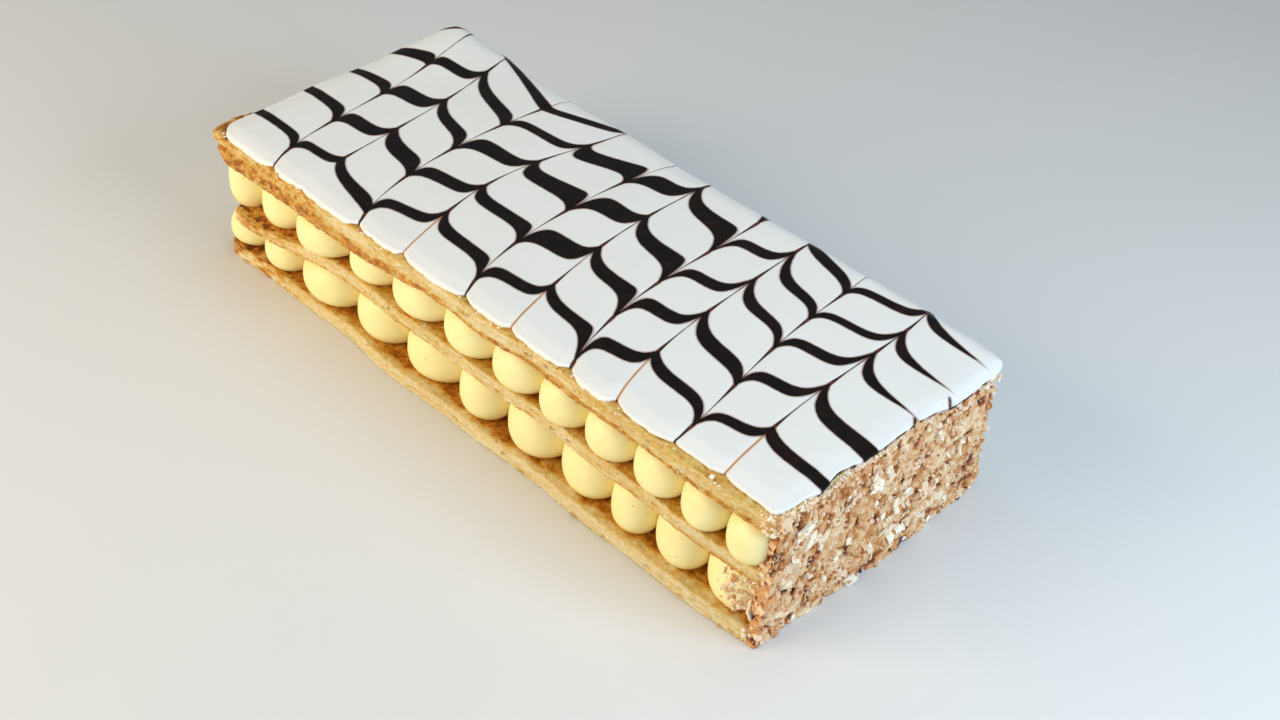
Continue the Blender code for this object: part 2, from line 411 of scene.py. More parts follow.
def middle_skins(height, side, x, y, along, reach):
    """Tone of the middle sheet: pale edge on a thin brown skin, deep amber top."""
    if side == 0:
        # The reach term paints shade: the edge is darker where its leaves sink in and paler where they stand out
        edge = 0.22 + 0.13 * streaks(82, along, height) - 0.22 * np.clip(reach, -0.7, 0.5)
        edge += 0.26 * ease((0.24 + 0.16 * mottle(83, along, 0, 7.0, 1.0) - height) / 0.12)
        edge += 0.14 * ease((height - 0.90) / 0.10)
        return edge + 0.32 * open_end_browning(x) * (0.6 + 1.0 * mottle(84, along, height * 5.0, 2.6, 1.4))
    patches = mottle(81, x, y, 6.0, 4.0) + 0.6 * mottle(86, x, y, 1.9, 1.5)
    freckles = np.maximum(mottle(85, x, y, 1.6, 1.6) - 0.1, 0.0) * (0.15 + 0.8 * open_end_browning(x))
    rim = ease((np.abs(y) - MIDDLE_EDGE + 4.0) / 3.0)
    return 0.66 + 0.12 * patches - 0.26 * rim + freckles


def upper_skins(height, side, x, y, along, reach):
    """Tone of the top sheet: cream leaves over a ragged amber skin, browned all over at the open end."""
    if side == 0:
        left = ease((-12.0 - x) / 16.0) * (y < 0)
        right = ease((x - 36.0) / 16.0)
        skin = (0.28 + 0.14 * left + 0.05 * right + 0.10 * mottle(92, along, 0, 9.0, 1.0)
                + 0.07 * mottle(96, along, 0, 2.5, 1.0))
        edge = 0.20 + 0.05 * left + 0.10 * right + 0.13 * streaks(93, along, height)
        # The reach term paints shade: the edge is darker where its leaves sink in and paler where they stand out
        edge += (0.24 - 0.14 * right) * ease((height - 0.86) / 0.10) - 0.22 * np.clip(reach, -0.7, 0.5)
        crust = 0.58 + 0.03 * left + 0.20 * mottle(97, along, height * 7.0, 2.4, 1.5)
        edge += (crust - edge) * ease((skin - height) / 0.08 + 0.5)
        baked = 0.68 - 0.26 * ease((height - 0.40) / 0.30) + 0.08 * ease((height - 0.86) / 0.10)
        baked += 0.22 * mottle(98, along, height * 9.0, 2.2, 1.4) + 0.20 * mottle(99, along, height * 9.0, 0.9, 0.7)
        return edge + (baked - edge) * ease((-62.0 - x) / 14.0)
    freckles = np.maximum(mottle(95, x, y, 1.6, 1.6) - 0.1, 0.0) * (0.2 + 0.8 * open_end_browning(x))
    return 0.46 + 0.14 * mottle(91, x, y, 8.0, 6.0) + 0.12 * open_end_browning(x) + freckles


def base_shape(x, y, out, height, inset, along):
    """The bottom sheet's front edge is cut further in towards the open end, round its corner."""
    keep = 1 - inset / MARGIN
    front = (out[:, 1] < -0.3) * np.minimum(-out[:, 1], 1.0)
    near = np.exp(-((x + 129.0) ** 2 + (y + 57.0) ** 2) / 8.0 ** 2)
    y = y + 1.2 * front * keep * ease((-40.0 - x) / 20.0)
    return x - out[:, 0] * 1.8 * near * keep, y - out[:, 1] * 1.2 * near * keep, 0.0, 0.0


def middle_shape(x, y, out, height, inset, along):
    """The middle sheet thins towards its rim at the open front corner, which stands out a little."""
    keep = 1 - inset / MARGIN
    near = np.exp(-((x + 120.0) ** 2 + (y + 56.0) ** 2) / 16.0 ** 2)
    sunk = 1.1 * ease((9.0 - inset) / 9.0) * ease((-82.0 - x) / 14.0) * ease((-y - 42.0) / 10.0)
    return x + out[:, 0] * 2.8 * near * keep, y, 0.0, sunk


def upper_shape(x, y, out, height, inset, along):
    """The top sheet's front edge stands forward where it hangs. At its open corner the leaves
    have parted: a crack runs in above a thick lower leaf, and the tips are split in two."""
    keep = 1 - inset / MARGIN
    front = (out[:, 1] < -0.3) * np.minimum(-out[:, 1], 1.0)
    y = y - 2.2 * hang(x, -UPPER_EDGE) * front * keep
    level = 0.56 + 0.05 * mottle(61, along, 0, 5.0, 1.0)
    crack = np.exp(-((height - level) / 0.07) ** 2)
    near = np.exp(-((x + 129.0) ** 2 + (y + 59.0) ** 2) / 6.5 ** 2)
    lower_leaf = ease((level - 0.05 - height) / 0.08) * ease((-88.0 - x) / 30.0)
    moved = -1.1 * crack * ease((-96.0 - x) / 18.0) * front - 3.6 * crack * near
    moved = moved + lower_leaf * (0.7 * front - 2.6 * near) - 1.2 * near
    down = (1.0 + 0.5 * mottle(62, along, 0, 7.0, 1.0)) * front * ease((100.0 - x) / 60.0) * ease((1.6 - inset) / 1.6)
    covered = 1.5 * ease((y + 50.0) / 12.0) * (out[:, 0] < -0.3) * keep
    return x + out[:, 0] * moved * keep + covered, y + out[:, 1] * moved * keep, down * ease((x + 132.0) / 25.0), 0.0


pastry_finish, tree, shader = new_material("baked puff pastry")
place = add_node(tree, "ShaderNodeTexCoord").outputs["Object"]
tone = add_node(tree, "ShaderNodeAttribute", attribute_name="tone").outputs["Fac"]
spots = add_node(tree, "ShaderNodeTexNoise", {"Vector": place, "Scale": 420.0, "Detail": 5.0, "Roughness": 0.6})
grains = add_node(tree, "ShaderNodeTexNoise", {"Vector": place, "Scale": 1700.0, "Detail": 3.0, "Roughness": 0.6})
spotted = add_node(tree, "ShaderNodeMath", {0: spots.outputs["Fac"], 1: 0.40, 2: -0.20}, operation="MULTIPLY_ADD")
grainy = add_node(tree, "ShaderNodeMath", {0: grains.outputs["Fac"], 1: 0.30, 2: -0.15}, operation="MULTIPLY_ADD")
flat = add_node(tree, "ShaderNodeVectorMath", {0: place, 1: (1.0, 1.0, 3.0)}, operation="MULTIPLY")
leaves = add_node(tree, "ShaderNodeTexNoise", {"Vector": flat.outputs[0], "Scale": 480.0, "Detail": 4.0, "Roughness": 0.65})
leafy = add_node(tree, "ShaderNodeMath", {0: leaves.outputs["Fac"], 1: 0.60, 2: -0.30}, operation="MULTIPLY_ADD")
facets = add_node(tree, "ShaderNodeTexVoronoi", {"Vector": flat.outputs[0], "Scale": 850.0})
facet = add_node(tree, "ShaderNodeSeparateColor", {"Color": facets.outputs["Color"]})
faceted = add_node(tree, "ShaderNodeMath", {0: facet.outputs[0], 1: 0.22, 2: -0.11}, operation="MULTIPLY_ADD")
browned = add_node(tree, "ShaderNodeMath", {0: tone, 1: spotted.outputs[0]}, operation="ADD")
browned = add_node(tree, "ShaderNodeMath", {0: browned.outputs[0], 1: leafy.outputs[0]}, operation="ADD")
browned = add_node(tree, "ShaderNodeMath", {0: browned.outputs[0], 1: grainy.outputs[0]}, operation="ADD")
browned = add_node(tree, "ShaderNodeMath", {0: browned.outputs[0], 1: faceted.outputs[0]}, operation="ADD")
crust = add_node(tree, "ShaderNodeValToRGB", {"Fac": browned.outputs[0]})
CRUST_STOPS = ((0.0, (232, 218, 178)), (0.22, (224, 198, 136)), (0.42, (217, 178, 94)),
               (0.60, (203, 143, 44)), (0.78, (174, 102, 20)), (1.0, (114, 60, 18)))


def set_ramp(ramp, stops):
    """Set a colour ramp's stops: place and screen colour."""
    while len(ramp.elements) < len(stops):
        ramp.elements.new(0.5)
    for element, (place_on_ramp, shade) in zip(ramp.elements, stops):
        element.position = place_on_ramp
        element.color = srgb(*shade)


set_ramp(crust.color_ramp, CRUST_STOPS)
gloss = add_node(tree, "ShaderNodeMapRange", {"Value": browned.outputs[0], "From Min": 0.35, "From Max": 0.85,
                                              "To Min": 0.62, "To Max": 0.36})
uneven = add_node(tree, "ShaderNodeMath", {0: grains.outputs["Fac"], 1: leaves.outputs["Fac"]}, operation="ADD")
uneven = add_node(tree, "ShaderNodeMath", {0: facet.outputs[1], 1: 0.5, 2: uneven.outputs[0]}, operation="MULTIPLY_ADD")
bump = add_node(tree, "ShaderNodeBump", {"Height": uneven.outputs[0], "Strength": 0.6, "Distance": 0.0006})
tree.links.new(crust.outputs["Color"], shader.inputs["Base Color"])
tree.links.new(gloss.outputs["Result"], shader.inputs["Roughness"])
tree.links.new(bump.outputs["Normal"], shader.inputs["Normal"])
shader.inputs["Specular IOR Level"].default_value = 0.45

sheets = [
    (make_sheet("sheet_bottom", BASE_OPEN_END, CRUMBED_END, BASE_EDGE, 5.0,
                base_under, base_top, base_skins, 0.62, 10, base_shape), "pastry_bottom"),
    (make_sheet("sheet_middle", MIDDLE_OPEN_END, CRUMBED_END, MIDDLE_EDGE, 5.0,
                middle_under, middle_top, middle_skins, 0.55, 30, middle_shape), "pastry_middle"),
    (make_sheet("sheet_top", UPPER_OPEN_END, CRUMBED_END, UPPER_EDGE, 3.0,
                upper_under, upper_top, upper_skins, 0.52, 50, upper_shape), "pastry_top"),
]
for piece, node in sheets:
    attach(piece, "root")
    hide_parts(node)

# ----------------------------------------------------------------------------------------------
# Balls of pastry cream, piped in a row along each long side and across the open end, and
# pressed a little flat by the sheet above. More cream fills the middle, behind the balls.
# ----------------------------------------------------------------------------------------------
BALL_AROUND = 48
BALL_ROWS = 26
CORE_EDGE = 27.0
CORE_OPEN_END = -107.0


def node_box(node):
    """A CAD node's lowest and highest corners, in millimetres."""
    low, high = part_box(node)
    return np.array(low) / MM, np.array(high) / MM


def ball_girth(height):
    """Radius of a pressed ball, as a part of its widest, at a height from 0 to 1."""
    return (1 - (np.abs(height - 0.48) / 0.56) ** 2.5) ** 0.4


def make_ball(name, node, under, over, seed):
    """A smooth piped ball in the space of its CAD node."""
    low, high = node_box(node)
    centre = (low + high) / 2
    radius = (high[0] - low[0]) / 2
    rng = np.random.default_rng(seed)
    lean, squash, wobble = rng.uniform(0, 2 * np.pi, 3)
    angle = np.linspace(0, 2 * np.pi, BALL_AROUND, endpoint=False)[None, :]
    side = 0.5 - 0.5 * np.cos(np.pi * np.linspace(0, 1, BALL_ROWS))
    heights = np.concatenate([[0.0], side, [1.0]])[:, None]
    girth = np.concatenate([[0.5 * ball_girth(0.0)], ball_girth(side), [0.5 * ball_girth(1.0)]])[:, None]
    around = (1 + 0.020 * np.cos(2 * (angle - squash)) + 0.012 * np.cos(3 * (angle - wobble))
              + 0.018 * np.cos(angle - lean) * (heights - 0.5))
    reach = girth * radius * around
    x = centre[0] + reach * np.cos(angle)
    y = centre[1] + reach * np.sin(angle)
    floor = under(x, y) + 0.04
    roof = over(x, y) - 0.04
    z = floor + heights * (roof - floor)
    points = np.stack([x, y, z], axis=-1).reshape(-1, 3)
    faces = grid_faces(len(heights), BALL_AROUND, closed=True)
    faces.append(list(range(BALL_AROUND)))
    faces.append([len(points) - BALL_AROUND + k for k in range(BALL_AROUND)])
    # foot paints shade: the cream's colour deepens to a warmer, darker yellow low on each ball, standing in for the
    # shade at its base
    foot = np.broadcast_to(ease((0.30 - heights) / 0.30), x.shape).reshape(-1)
    return make_piece(name, points, faces, cream_finish, {"foot": foot})


def border(rows, columns):
    """Row and column numbers once round the border of a grid, from its first corner."""
    across = np.arange(columns - 1)
    down = np.arange(rows - 1)
    row = np.concatenate([0 * across, down, 0 * across + rows - 1, down[::-1] + 1])
    column = np.concatenate([across, 0 * down + columns - 1, across[::-1] + 1, 0 * down])
    return row, column


def make_core(name, under, over):
    """Cream behind the balls: rows that have run together, with a scalloped side."""
    columns = 261
    rows = 25
    x = np.linspace(CORE_OPEN_END, CRUMBED_END - 0.1, columns)[None, :]
    v = np.linspace(-1, 1, rows)[:, None]
    edge = CORE_EDGE - 3.2 + 2.0 * np.abs(np.sin(np.pi * x / 22.0))
    y = v * edge
    x = x + 0 * y
    top = np.stack([x, y, over(x, y) - 0.1], axis=-1)
    row, column = border(rows, columns)
    rim = top[row, column]
    outward = np.stack([np.where(column == 0, -1.0, 0.0), np.sign(rim[:, 1])], axis=-1)
    loops = []
    for share, bulge in ((0.85, 0.8), (0.5, 1.2), (0.15, 0.8), (0.0, 0.0)):
        loop = rim.copy()
        loop[:, :2] += outward * bulge
        floor = under(loop[:, 0], loop[:, 1]) + 0.1
        loop[:, 2] = floor + share * (rim[:, 2] - floor)
        loops.append(loop)
    points = np.concatenate([top.reshape(-1, 3)] + loops)
    faces = grid_faces(rows, columns, closed=False)
    ring = row * columns + column
    for number in range(len(loops)):
        following = rows * columns + number * len(rim) + np.arange(len(rim))
        faces += loop_faces(ring, following)
        ring = following
    points, faces = coarse_fill(points, faces, ring, columns - 1, rows - 1, 4)
    return make_piece(name, points, faces, cream_finish, {"foot": np.zeros(len(points))})


cream_finish, tree, shader = new_material("pastry cream")
place = add_node(tree, "ShaderNodeTexCoord").outputs["Object"]
foot = add_node(tree, "ShaderNodeAttribute", attribute_name="foot").outputs["Fac"]
clouds = add_node(tree, "ShaderNodeTexNoise", {"Vector": place, "Scale": 130.0, "Detail": 3.0})
# Painted shade low on each ball: the colour mixes towards the deeper yellow where foot is high, plus random cloudy
# mottling
foot_shade_and_mottle = add_node(tree, "ShaderNodeMath", {0: foot, 1: 0.55, 2: 0.0}, operation="MULTIPLY_ADD")
foot_shade_and_mottle = add_node(tree, "ShaderNodeMath", {0: clouds.outputs["Fac"], 1: 0.5, 2: foot_shade_and_mottle.outputs[0]},
                  operation="MULTIPLY_ADD")
custard = add_node(tree, "ShaderNodeMix", {0: foot_shade_and_mottle.outputs[0], 6: srgb(254, 243, 186), 7: srgb(249, 221, 132)},
                   data_type="RGBA")
cells = add_node(tree, "ShaderNodeTexVoronoi", {"Vector": place, "Scale": 210.0})
kept = add_node(tree, "ShaderNodeSeparateColor", {"Color": cells.outputs["Color"]})
rare = add_node(tree, "ShaderNodeMath", {0: kept.outputs[0], 1: 0.80}, operation="GREATER_THAN")
dot = add_node(tree, "ShaderNodeMapRange", {"Value": cells.outputs["Distance"], "From Min": 0.035,
                                            "From Max": 0.065, "To Min": 0.75, "To Max": 0.0})
speck = add_node(tree, "ShaderNodeMath", {0: dot.outputs["Result"], 1: rare.outputs[0]}, operation="MULTIPLY")
speckled = add_node(tree, "ShaderNodeMix", {0: speck.outputs[0], 6: custard.outputs[2], 7: srgb(120, 80, 40)},
                    data_type="RGBA")
fine = add_node(tree, "ShaderNodeTexNoise", {"Vector": place, "Scale": 900.0, "Detail": 2.0})
bump = add_node(tree, "ShaderNodeBump", {"Height": fine.outputs["Fac"], "Strength": 0.12, "Distance": 0.0003})
tree.links.new(speckled.outputs[2], shader.inputs["Base Color"])
tree.links.new(bump.outputs["Normal"], shader.inputs["Normal"])
shader.inputs["Roughness"].default_value = 0.42
shader.inputs["Specular IOR Level"].default_value = 0.4
shader.inputs["Subsurface Weight"].default_value = 0.25
shader.inputs["Subsurface Radius"].default_value = (1.0, 0.7, 0.3)
shader.inputs["Subsurface Scale"].default_value = 0.002

balls = {}
for number, node in enumerate(sorted(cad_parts)):
    if not node.startswith("cream_") or "core" in node:
        continue
    levels = (base_top, middle_under) if "lower" in node else (middle_top, upper_under)
    ball = make_ball(node.replace("cream", "ball"), node, *levels, 700 + number)
    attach(ball, "root")
    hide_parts(node)
    balls[node] = ball
for node, levels in (("cream_core_lower", (base_top, middle_under)), ("cream_core_upper", (middle_top, upper_under))):
    core_piece = make_core(node.replace("cream_core", "cream_inside"), *levels)
    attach(core_piece, "root")
    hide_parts(node)

# ----------------------------------------------------------------------------------------------
# Fondant icing poured over the top sheet, with five lines of chocolate piped along it while it
# was wet. A skewer drawn across by turns to the front and to the back pulls the lines into
# feathers and leaves a hair of chocolate behind it.
# ----------------------------------------------------------------------------------------------
ICING_TOP = 55.6
ICING_UNDER = 53.8
LIP = 0.9                     # how far in the rounded edge starts
LIP_DROP = 0.85               # and how deep it falls
LIP_ROWS = 7
ICING_CORNERS = (7.5, 3.0, 7.0)  # radius at the open end, and at the crumbed end's front and back
STRETCH_COLUMNS = 34
ICING_ROWS = 182
PATTERN_OPEN_END = -128.5
PATTERN_CRUMBED_END = 129.0
NOTCH = 5.0                   # the trailing edge of a line is pulled this much less than its tip
STATIONS = np.array([56.0, 28.0, 0.0, -28.0, -56.0])

# The skewer's strokes, from the open end: pull (-1 to the front, +1 to the back), softness of
# the pulled line on its left and right, the same for its trailing side as a share, and x where
# the stroke crosses each station
STROKES = (
    (-1, 2.6, 2.0, 0.6, 0.6, (-121.4, -115.0, -109.5, -105.2, -97.3)),
    (+1, 2.4, 4.4, 0.8, 0.8, (-101.5, -95.0, -90.0, -86.2, -81.0)),
    (-1, 2.8, 2.6, 0.6, 0.6, (-66.0, -68.0, -67.3, -63.4, -53.4)),
    (+1, 2.0, 2.4, 0.8, 0.8, (-37.6, -41.5, -43.8, -39.8, -32.0)),
    (-1, 2.6, 2.6, 0.35, 0.7, (-12.0, -15.5, -15.3, -11.8, -2.8)),
    (+1, 2.2, 4.2, 0.9, 0.9, (4.2, 4.0, 6.0, 10.8, 18.0)),
    (-1, 3.0, 1.6, 0.3, 0.8, (30.4, 31.0, 31.8, 35.3, 43.8)),
    (+1, 2.5, 4.4, 0.8, 0.8, (49.5, 50.6, 52.3, 55.5, 63.0)),
    (-1, 2.9, 2.0, 1.0, 1.0, (74.0, 75.5, 78.1, 82.7, 86.0)),
    (+1, 2.7, 4.3, 0.8, 0.8, (99.3, 100.3, 100.3, 101.7, 104.8)),
)
# The chocolate lines, from the back: y and thickness at both ends of each stretch between two
# strokes, then y of the tips
LINES = (
    (((50, 66, 2.2, 2.2), (62, 61, 2.5, 2.5), (58.5, 44.5, 2, 5.5), (43.5, 56, 4, 4), (70, 72, 3, 3),
      (80, 80, 3, 3), (74, 66, 3, 3), (66, 66, 3, 3), (55.5, 49.5, 5.5, 4.5), (50, 52.5, 3.8, 3.8),
      (53, 49.3, 5.6, -0.9)), (60, 62, 42.5, 64, 70, 82, 50, 61.5, 42.5, 63)),
    (((27, 34.5, 6, 7), (35.5, 36, 5, 6), (35, 27.7, 5, 6), (30, 31.5, 3.6, 5), (30.5, 43, 8.5, 9),
      (42, 41.5, 9.5, 8.5), (40, 39.5, 6, 9), (38.5, 39, 4.8, 5.2), (31.5, 31.2, 4.6, 4.2),
      (30, 32, 3.5, 3.5), (31.5, 30, 5.2, -0.9)), (28.5, 46, 22, 41.5, 30.5, 54, 23.5, 51, 22, 45)),
    (((5, 8, 4, 5), (9, 10, 8, 8), (9.5, 6, 4.6, 5.5), (8, 9, 8.2, 6.6), (8.5, 12.5, 6.6, 10),
      (17, 15.7, 10, 8.8), (11.5, 11.5, 6, 8.5), (11, 11.5, 5, 5.4), (12, 12, 4.8, 4.4),
      (10.5, 12, 4.6, 5), (12.7, 11.2, 5.6, -0.9)), (0.5, 20, -4, 19, 2, 25, -3, 27.5, 0.5, 28)),
    (((-17, -17.3, 4.5, 5), (-18, -18.2, 6.6, 6.4), (-18.3, -19, 7.5, 7.5), (-19, -16, 6.2, 6),
      (-16, -14.8, 5.6, 5.6), (-13, -13, 10, 9.5), (-14, -12.7, 6, 5.6), (-12.8, -13, 6.4, 5.4),
      (-12.7, -14.2, 5.5, 7), (-11.5, -10.8, 5.2, 5), (-11.5, -13.3, 5.5, 7)),
     (-26, -8, -27.5, -7, -25, -1.5, -28.5, 1, -22.5, 3)),
    (((-41, -41, 4, 3.2), (-41.5, -41.2, 3.6, 4.2), (-43.6, -48.2, 3.2, 7.4), (-42.5, -38.5, 3.8, 5.5),
      (-38, -38.4, 5.6, 4.6), (-39.5, -38.5, 4.8, 5), (-38.3, -37.5, 5.2, 4), (-39, -37, 6, 5.4),
      (-36.3, -35.6, 4.8, 4.8), (-36.3, -35.2, 4, 4.4), (-34, -34.8, 4.8, 4.6)),
     (-49, -35.5, -52.5, -27.5, -49, -29, -53.5, -27.5, -47, -27)),
)
# Front edge of the icing: y at the open end, at each stroke and at the crumbed end, and y of the
# lobe between two of these
FRONT_NOTCHES = (-59.3, -57.4, -58.4, -56.6, -55.6, -54.8, -55.4, -54.0, -53.8, -54.2, -52.9, -55.5)
FRONT_LOBES = (-60.0, -59.7, -59.8, -58.6, -58.1, -57.3, -57.2, -57.7, -56.8, -55.1, -54.8)
BACK_EDGE = ((-133, 60.6), (-114, 59.2), (-102, 60.3), (-90, 58.4), (-70, 57.4), (-47, 59.0), (-26, 59.0),
             (-9, 57.0), (6, 58.0), (29, 59.2), (58, 60.6), (81, 61.0), (93, 61.7), (112, 61.0), (133, 60.5))
CRUMBED_EDGE = ((-62, 125.2), (-53, 125.5), (-45, 126.3), (-37, 127.5), (-27, 126.3), (-14, 128.3),
                (5, 128.3), (20, 129.4), (27, 131.4), (45, 131.5), (62, 131.0))
LIP_MARKS = (((128.8, 27.5), (131.6, 24.5)), ((127.0, 11.0), (129.5, 7.5)))


def eased_between(s, edge):
    """Read a listed edge, easing from each of its points to the next."""
    places, values = np.array(edge, float).T
    k = np.clip(np.searchsorted(places, s) - 1, 0, len(places) - 2)
    return values[k] + (values[k + 1] - values[k]) * ease((s - places[k]) / (places[k + 1] - places[k]))


def open_outline(y):
    """x of the icing's open end, which leans out towards the back."""
    return -127.4 - 6.0 * (0.5 + y / 123.8) + 1.4 * ease((-20.0 - y) / 30.0) + 0.35 * np.sin(y / 6.0)


def crumbed_outline(y):
    return eased_between(y, CRUMBED_EDGE) + 0.25 * np.sin(y / 3.1) * np.sin(y / 7.7)


def stroke_x(number, y):
    """x of stroke 1 to 10 at y; 0 is the icing's open end and 11 its crumbed end."""
    if number == 0:
        return open_outline(y) + LIP
    if number == len(STROKES) + 1:
        return crumbed_outline(y) - LIP
    curve = np.polyfit(STATIONS / STATIONS[0], STROKES[number - 1][-1], 4)
    return np.polyval(curve, np.clip(y, -62.0, 62.0) / STATIONS[0])


def chocolate_depth(stretch, left, right, y):
    """Distance in from the nearest edge of a chocolate line, less than 0 outside it.
    stretch numbers the stretch between two strokes; left and right are the distances to them."""
    pulls = np.array([0] + [stroke[0] for stroke in STROKES] + [0])
    depth = np.full(y.shape, -99.0)
    for stretches, tips in LINES:
        start_y, end_y, start_w, end_w = np.moveaxis(np.array(stretches, float)[stretch], -1, 0)
        tip = np.array((0,) + tips + (0,), float)
        t = left / (left + right)
        middle = start_y + (end_y - start_y) * t
        half = (start_w + (end_w - start_w) * t) / 2
        inside = np.full(y.shape, 99.0)
        for side in (1, -1):
            edge = middle + side * half
            slope = (end_y - start_y + side * (end_w - start_w) / 2) / (left + right)
            for end, away, end_at, width, soft, share, sign in (
                    (stretch, left, start_y, start_w, 2, 4, -1),
                    (stretch + 1, right, end_y, end_w, 1, 3, 1)):
                pull = pulls[end]
                leading = pull == side
                softness = np.array([1.0] + [stroke[soft] for stroke in STROKES] + [1.0])[end]
                trailing = np.array([1.0] + [stroke[share] for stroke in STROKES] + [1.0])[end]
                goal = np.where(leading, tip[end], tip[end] - pull * NOTCH)
                length = softness * np.where(leading, 1.0, trailing)
                drawn = (goal - (end_at + side * width / 2)) * np.exp(-np.maximum(away, 0) / length)
                drawn = np.where(pull == 0, 0.0, drawn)
                edge = edge + drawn
                slope = slope + sign * drawn / length
            inside = np.minimum(inside, side * (edge - y) / np.sqrt(1 + slope ** 2))
        depth = np.maximum(depth, inside)
    return depth


# Columns of vertices follow the strokes, closer together near them, then the rounded ends
angle = np.linspace(0, np.pi / 2, LIP_ROWS + 1)[:0:-1]
lip_inset = LIP * (1 - np.sin(angle))
u = np.arange(STRETCH_COLUMNS) / STRETCH_COLUMNS
u = 0.45 * (0.5 - 0.5 * np.cos(np.pi * u)) + 0.55 * u
stretch_count = len(STROKES) + 1
column_stretch = np.repeat(np.arange(stretch_count), STRETCH_COLUMNS)
column_share = np.tile(u, stretch_count)
column_stretch = np.concatenate([np.zeros(LIP_ROWS, int), column_stretch, [stretch_count - 1],
                                 np.full(LIP_ROWS, stretch_count - 1)])
column_share = np.concatenate([np.zeros(LIP_ROWS), column_share, [1.0], np.ones(LIP_ROWS)])
column_out = np.concatenate([LIP - lip_inset, np.zeros(len(column_share) - 2 * LIP_ROWS), (LIP - lip_inset)[::-1]])
column_side = np.sign(np.arange(len(column_share)) - len(column_share) / 2)

notch = np.array(FRONT_NOTCHES)
lobe = np.array(FRONT_LOBES)
base_line = notch[column_stretch] + (notch[column_stretch + 1] - notch[column_stretch]) * column_share
roundness = (1 - np.abs(2 * column_share - 1) ** 3.0) ** 0.8
front = base_line + (lobe[column_stretch] - base_line) * roundness
along_front = column_stretch * 24.0 + column_share * 24.0
front = front + 0.30 * mottle(312, along_front, 0, 3.2, 1.0) + 0.22 * mottle(313, along_front, 0, 1.4, 1.0)
path_x = np.stack([stroke_x(number, np.array(58.0)) for number in range(stretch_count + 1)])
back_x = path_x[column_stretch] + (path_x[column_stretch + 1] - path_x[column_stretch]) * column_share
back = eased_between(back_x, BACK_EDGE) + 0.2 * np.sin(back_x / 2.9)

w = np.linspace(0, 1, ICING_ROWS + 1)[:, None]
y = front + LIP + (back - front - 2 * LIP) * w
y = np.concatenate([front + lip_inset[:, None], y, back - lip_inset[::-1, None]])
paths = np.stack([stroke_x(number, y) for number in range(stretch_count + 1)])
column = np.arange(len(column_share))[None, :]
row = np.arange(len(y))[:, None]
left_path = paths[column_stretch[None, :], row, column]
right_path = paths[column_stretch[None, :] + 1, row, column]
x = left_path + (right_path - left_path) * column_share + column_side * column_out

# Round the four corners, and let the edge fall away in a soft lip
inset_x = np.where(column_side > 0, crumbed_outline(y) - x, x - open_outline(y))
inset_y = np.minimum(y - front, back - y)
corner = np.where(x < 0, ICING_CORNERS[0], np.where(y < 0, ICING_CORNERS[1], ICING_CORNERS[2]))
over_x = np.maximum(corner - inset_x, 0.0)
over_y = np.maximum(corner - inset_y, 0.0)
pull_in = np.maximum(over_x, over_y) / np.maximum(np.hypot(over_x, over_y), 1e-6)
pull_in = np.where((over_x > 0) & (over_y > 0), 1 - pull_in, 0.0)
x = x - column_side * over_x * pull_in
y = y - np.sign(y) * over_y * pull_in
inset = np.minimum(inset_x, inset_y)
fall = np.clip(1 - inset / LIP, 0.0, 1.0)
drop = LIP_DROP * (1 - np.sqrt(np.maximum(1 - fall ** 2, 0.0))) + 0.75 * ease((8.0 - inset) / 8.0) ** 1.5
sheet_reach = UPPER_EDGE + 2.2 * hang(x, -UPPER_EDGE) * (y < 0)
overhang = np.maximum(np.abs(y) - sheet_reach, np.maximum(x - 128.5, UPPER_OPEN_END - 1.0 - x))
droop = 0.35 * np.clip(overhang + 1.5, 0.0, 3.0)

stretch = np.broadcast_to(column_stretch[None, :], x.shape)
pattern_left = np.where(stretch == 0, x - (PATTERN_OPEN_END - 0.06 * y), x - left_path)
pattern_right = np.where(stretch == stretch_count - 1, PATTERN_CRUMBED_END + 0.03 * y - x, right_path - x)
choc = chocolate_depth(stretch, pattern_left, pattern_right, y)

# The hair of chocolate behind the skewer: half its thickness less the distance from the stroke.
# It is a dark spike past each line's tip, and a thin pale line where the skewer was clean
hair = np.full(x.shape, -9.0)
tan = np.zeros(x.shape)
for number, (pull, *_) in enumerate(STROKES, 1):
    slope = stroke_x(number, y + 0.5) - stroke_x(number, y - 0.5)
    away = np.abs(x - stroke_x(number, y)) / np.sqrt(1 + slope ** 2)
    spike = np.full(x.shape, -0.3)
    for _, tips in LINES:
        past = (y - tips[number - 1]) * pull
        spike = np.maximum(spike, np.where(past > -2.0, 0.66 * np.exp(-np.maximum(past, 0) / 8.5) - 0.04, -0.3))
    first_tip = LINES[-1][1][number - 1]
    before_first = (first_tip - y) * 1.0
    if pull < 0:
        thread = np.where(before_first > 0, 0.30, 0.10 + 0.08 * mottle(300 + number, y, y, 5.0, 5.0))
        pale = 0.35 * (before_first < 0)
    else:
        thread = 0.18 + 0.08 * mottle(300 + number, y, y, 6.0, 6.0) + 0.10 * (before_first > 0)
        fourth = LINES[-2][0][number][0]
        pale = 0.15 + 0.40 * ease((fourth - 5.0 - y) / 6.0) + 0.45 * ease((before_first + 1.0) / 4.0)
        if number == 2:
            thread = np.where(before_first > -2, -0.3, thread)
    for line, shade in ((thread - away, pale), (spike - away, 0.0 * y)):
        tan = np.where(line > hair, shade, tan)
        hair = np.maximum(hair, line)

# Marks over the crumbed end's lip
for (from_x, from_y), (to_x, to_y) in LIP_MARKS:
    run = np.array([to_x - from_x, to_y - from_y])
    t = np.clip(((x - from_x) * run[0] + (y - from_y) * run[1]) / (run @ run), 0, 1)
    mark = 0.35 - np.hypot(x - from_x - run[0] * t, y - from_y - run[1] * t)
    choc = np.maximum(choc, mark)

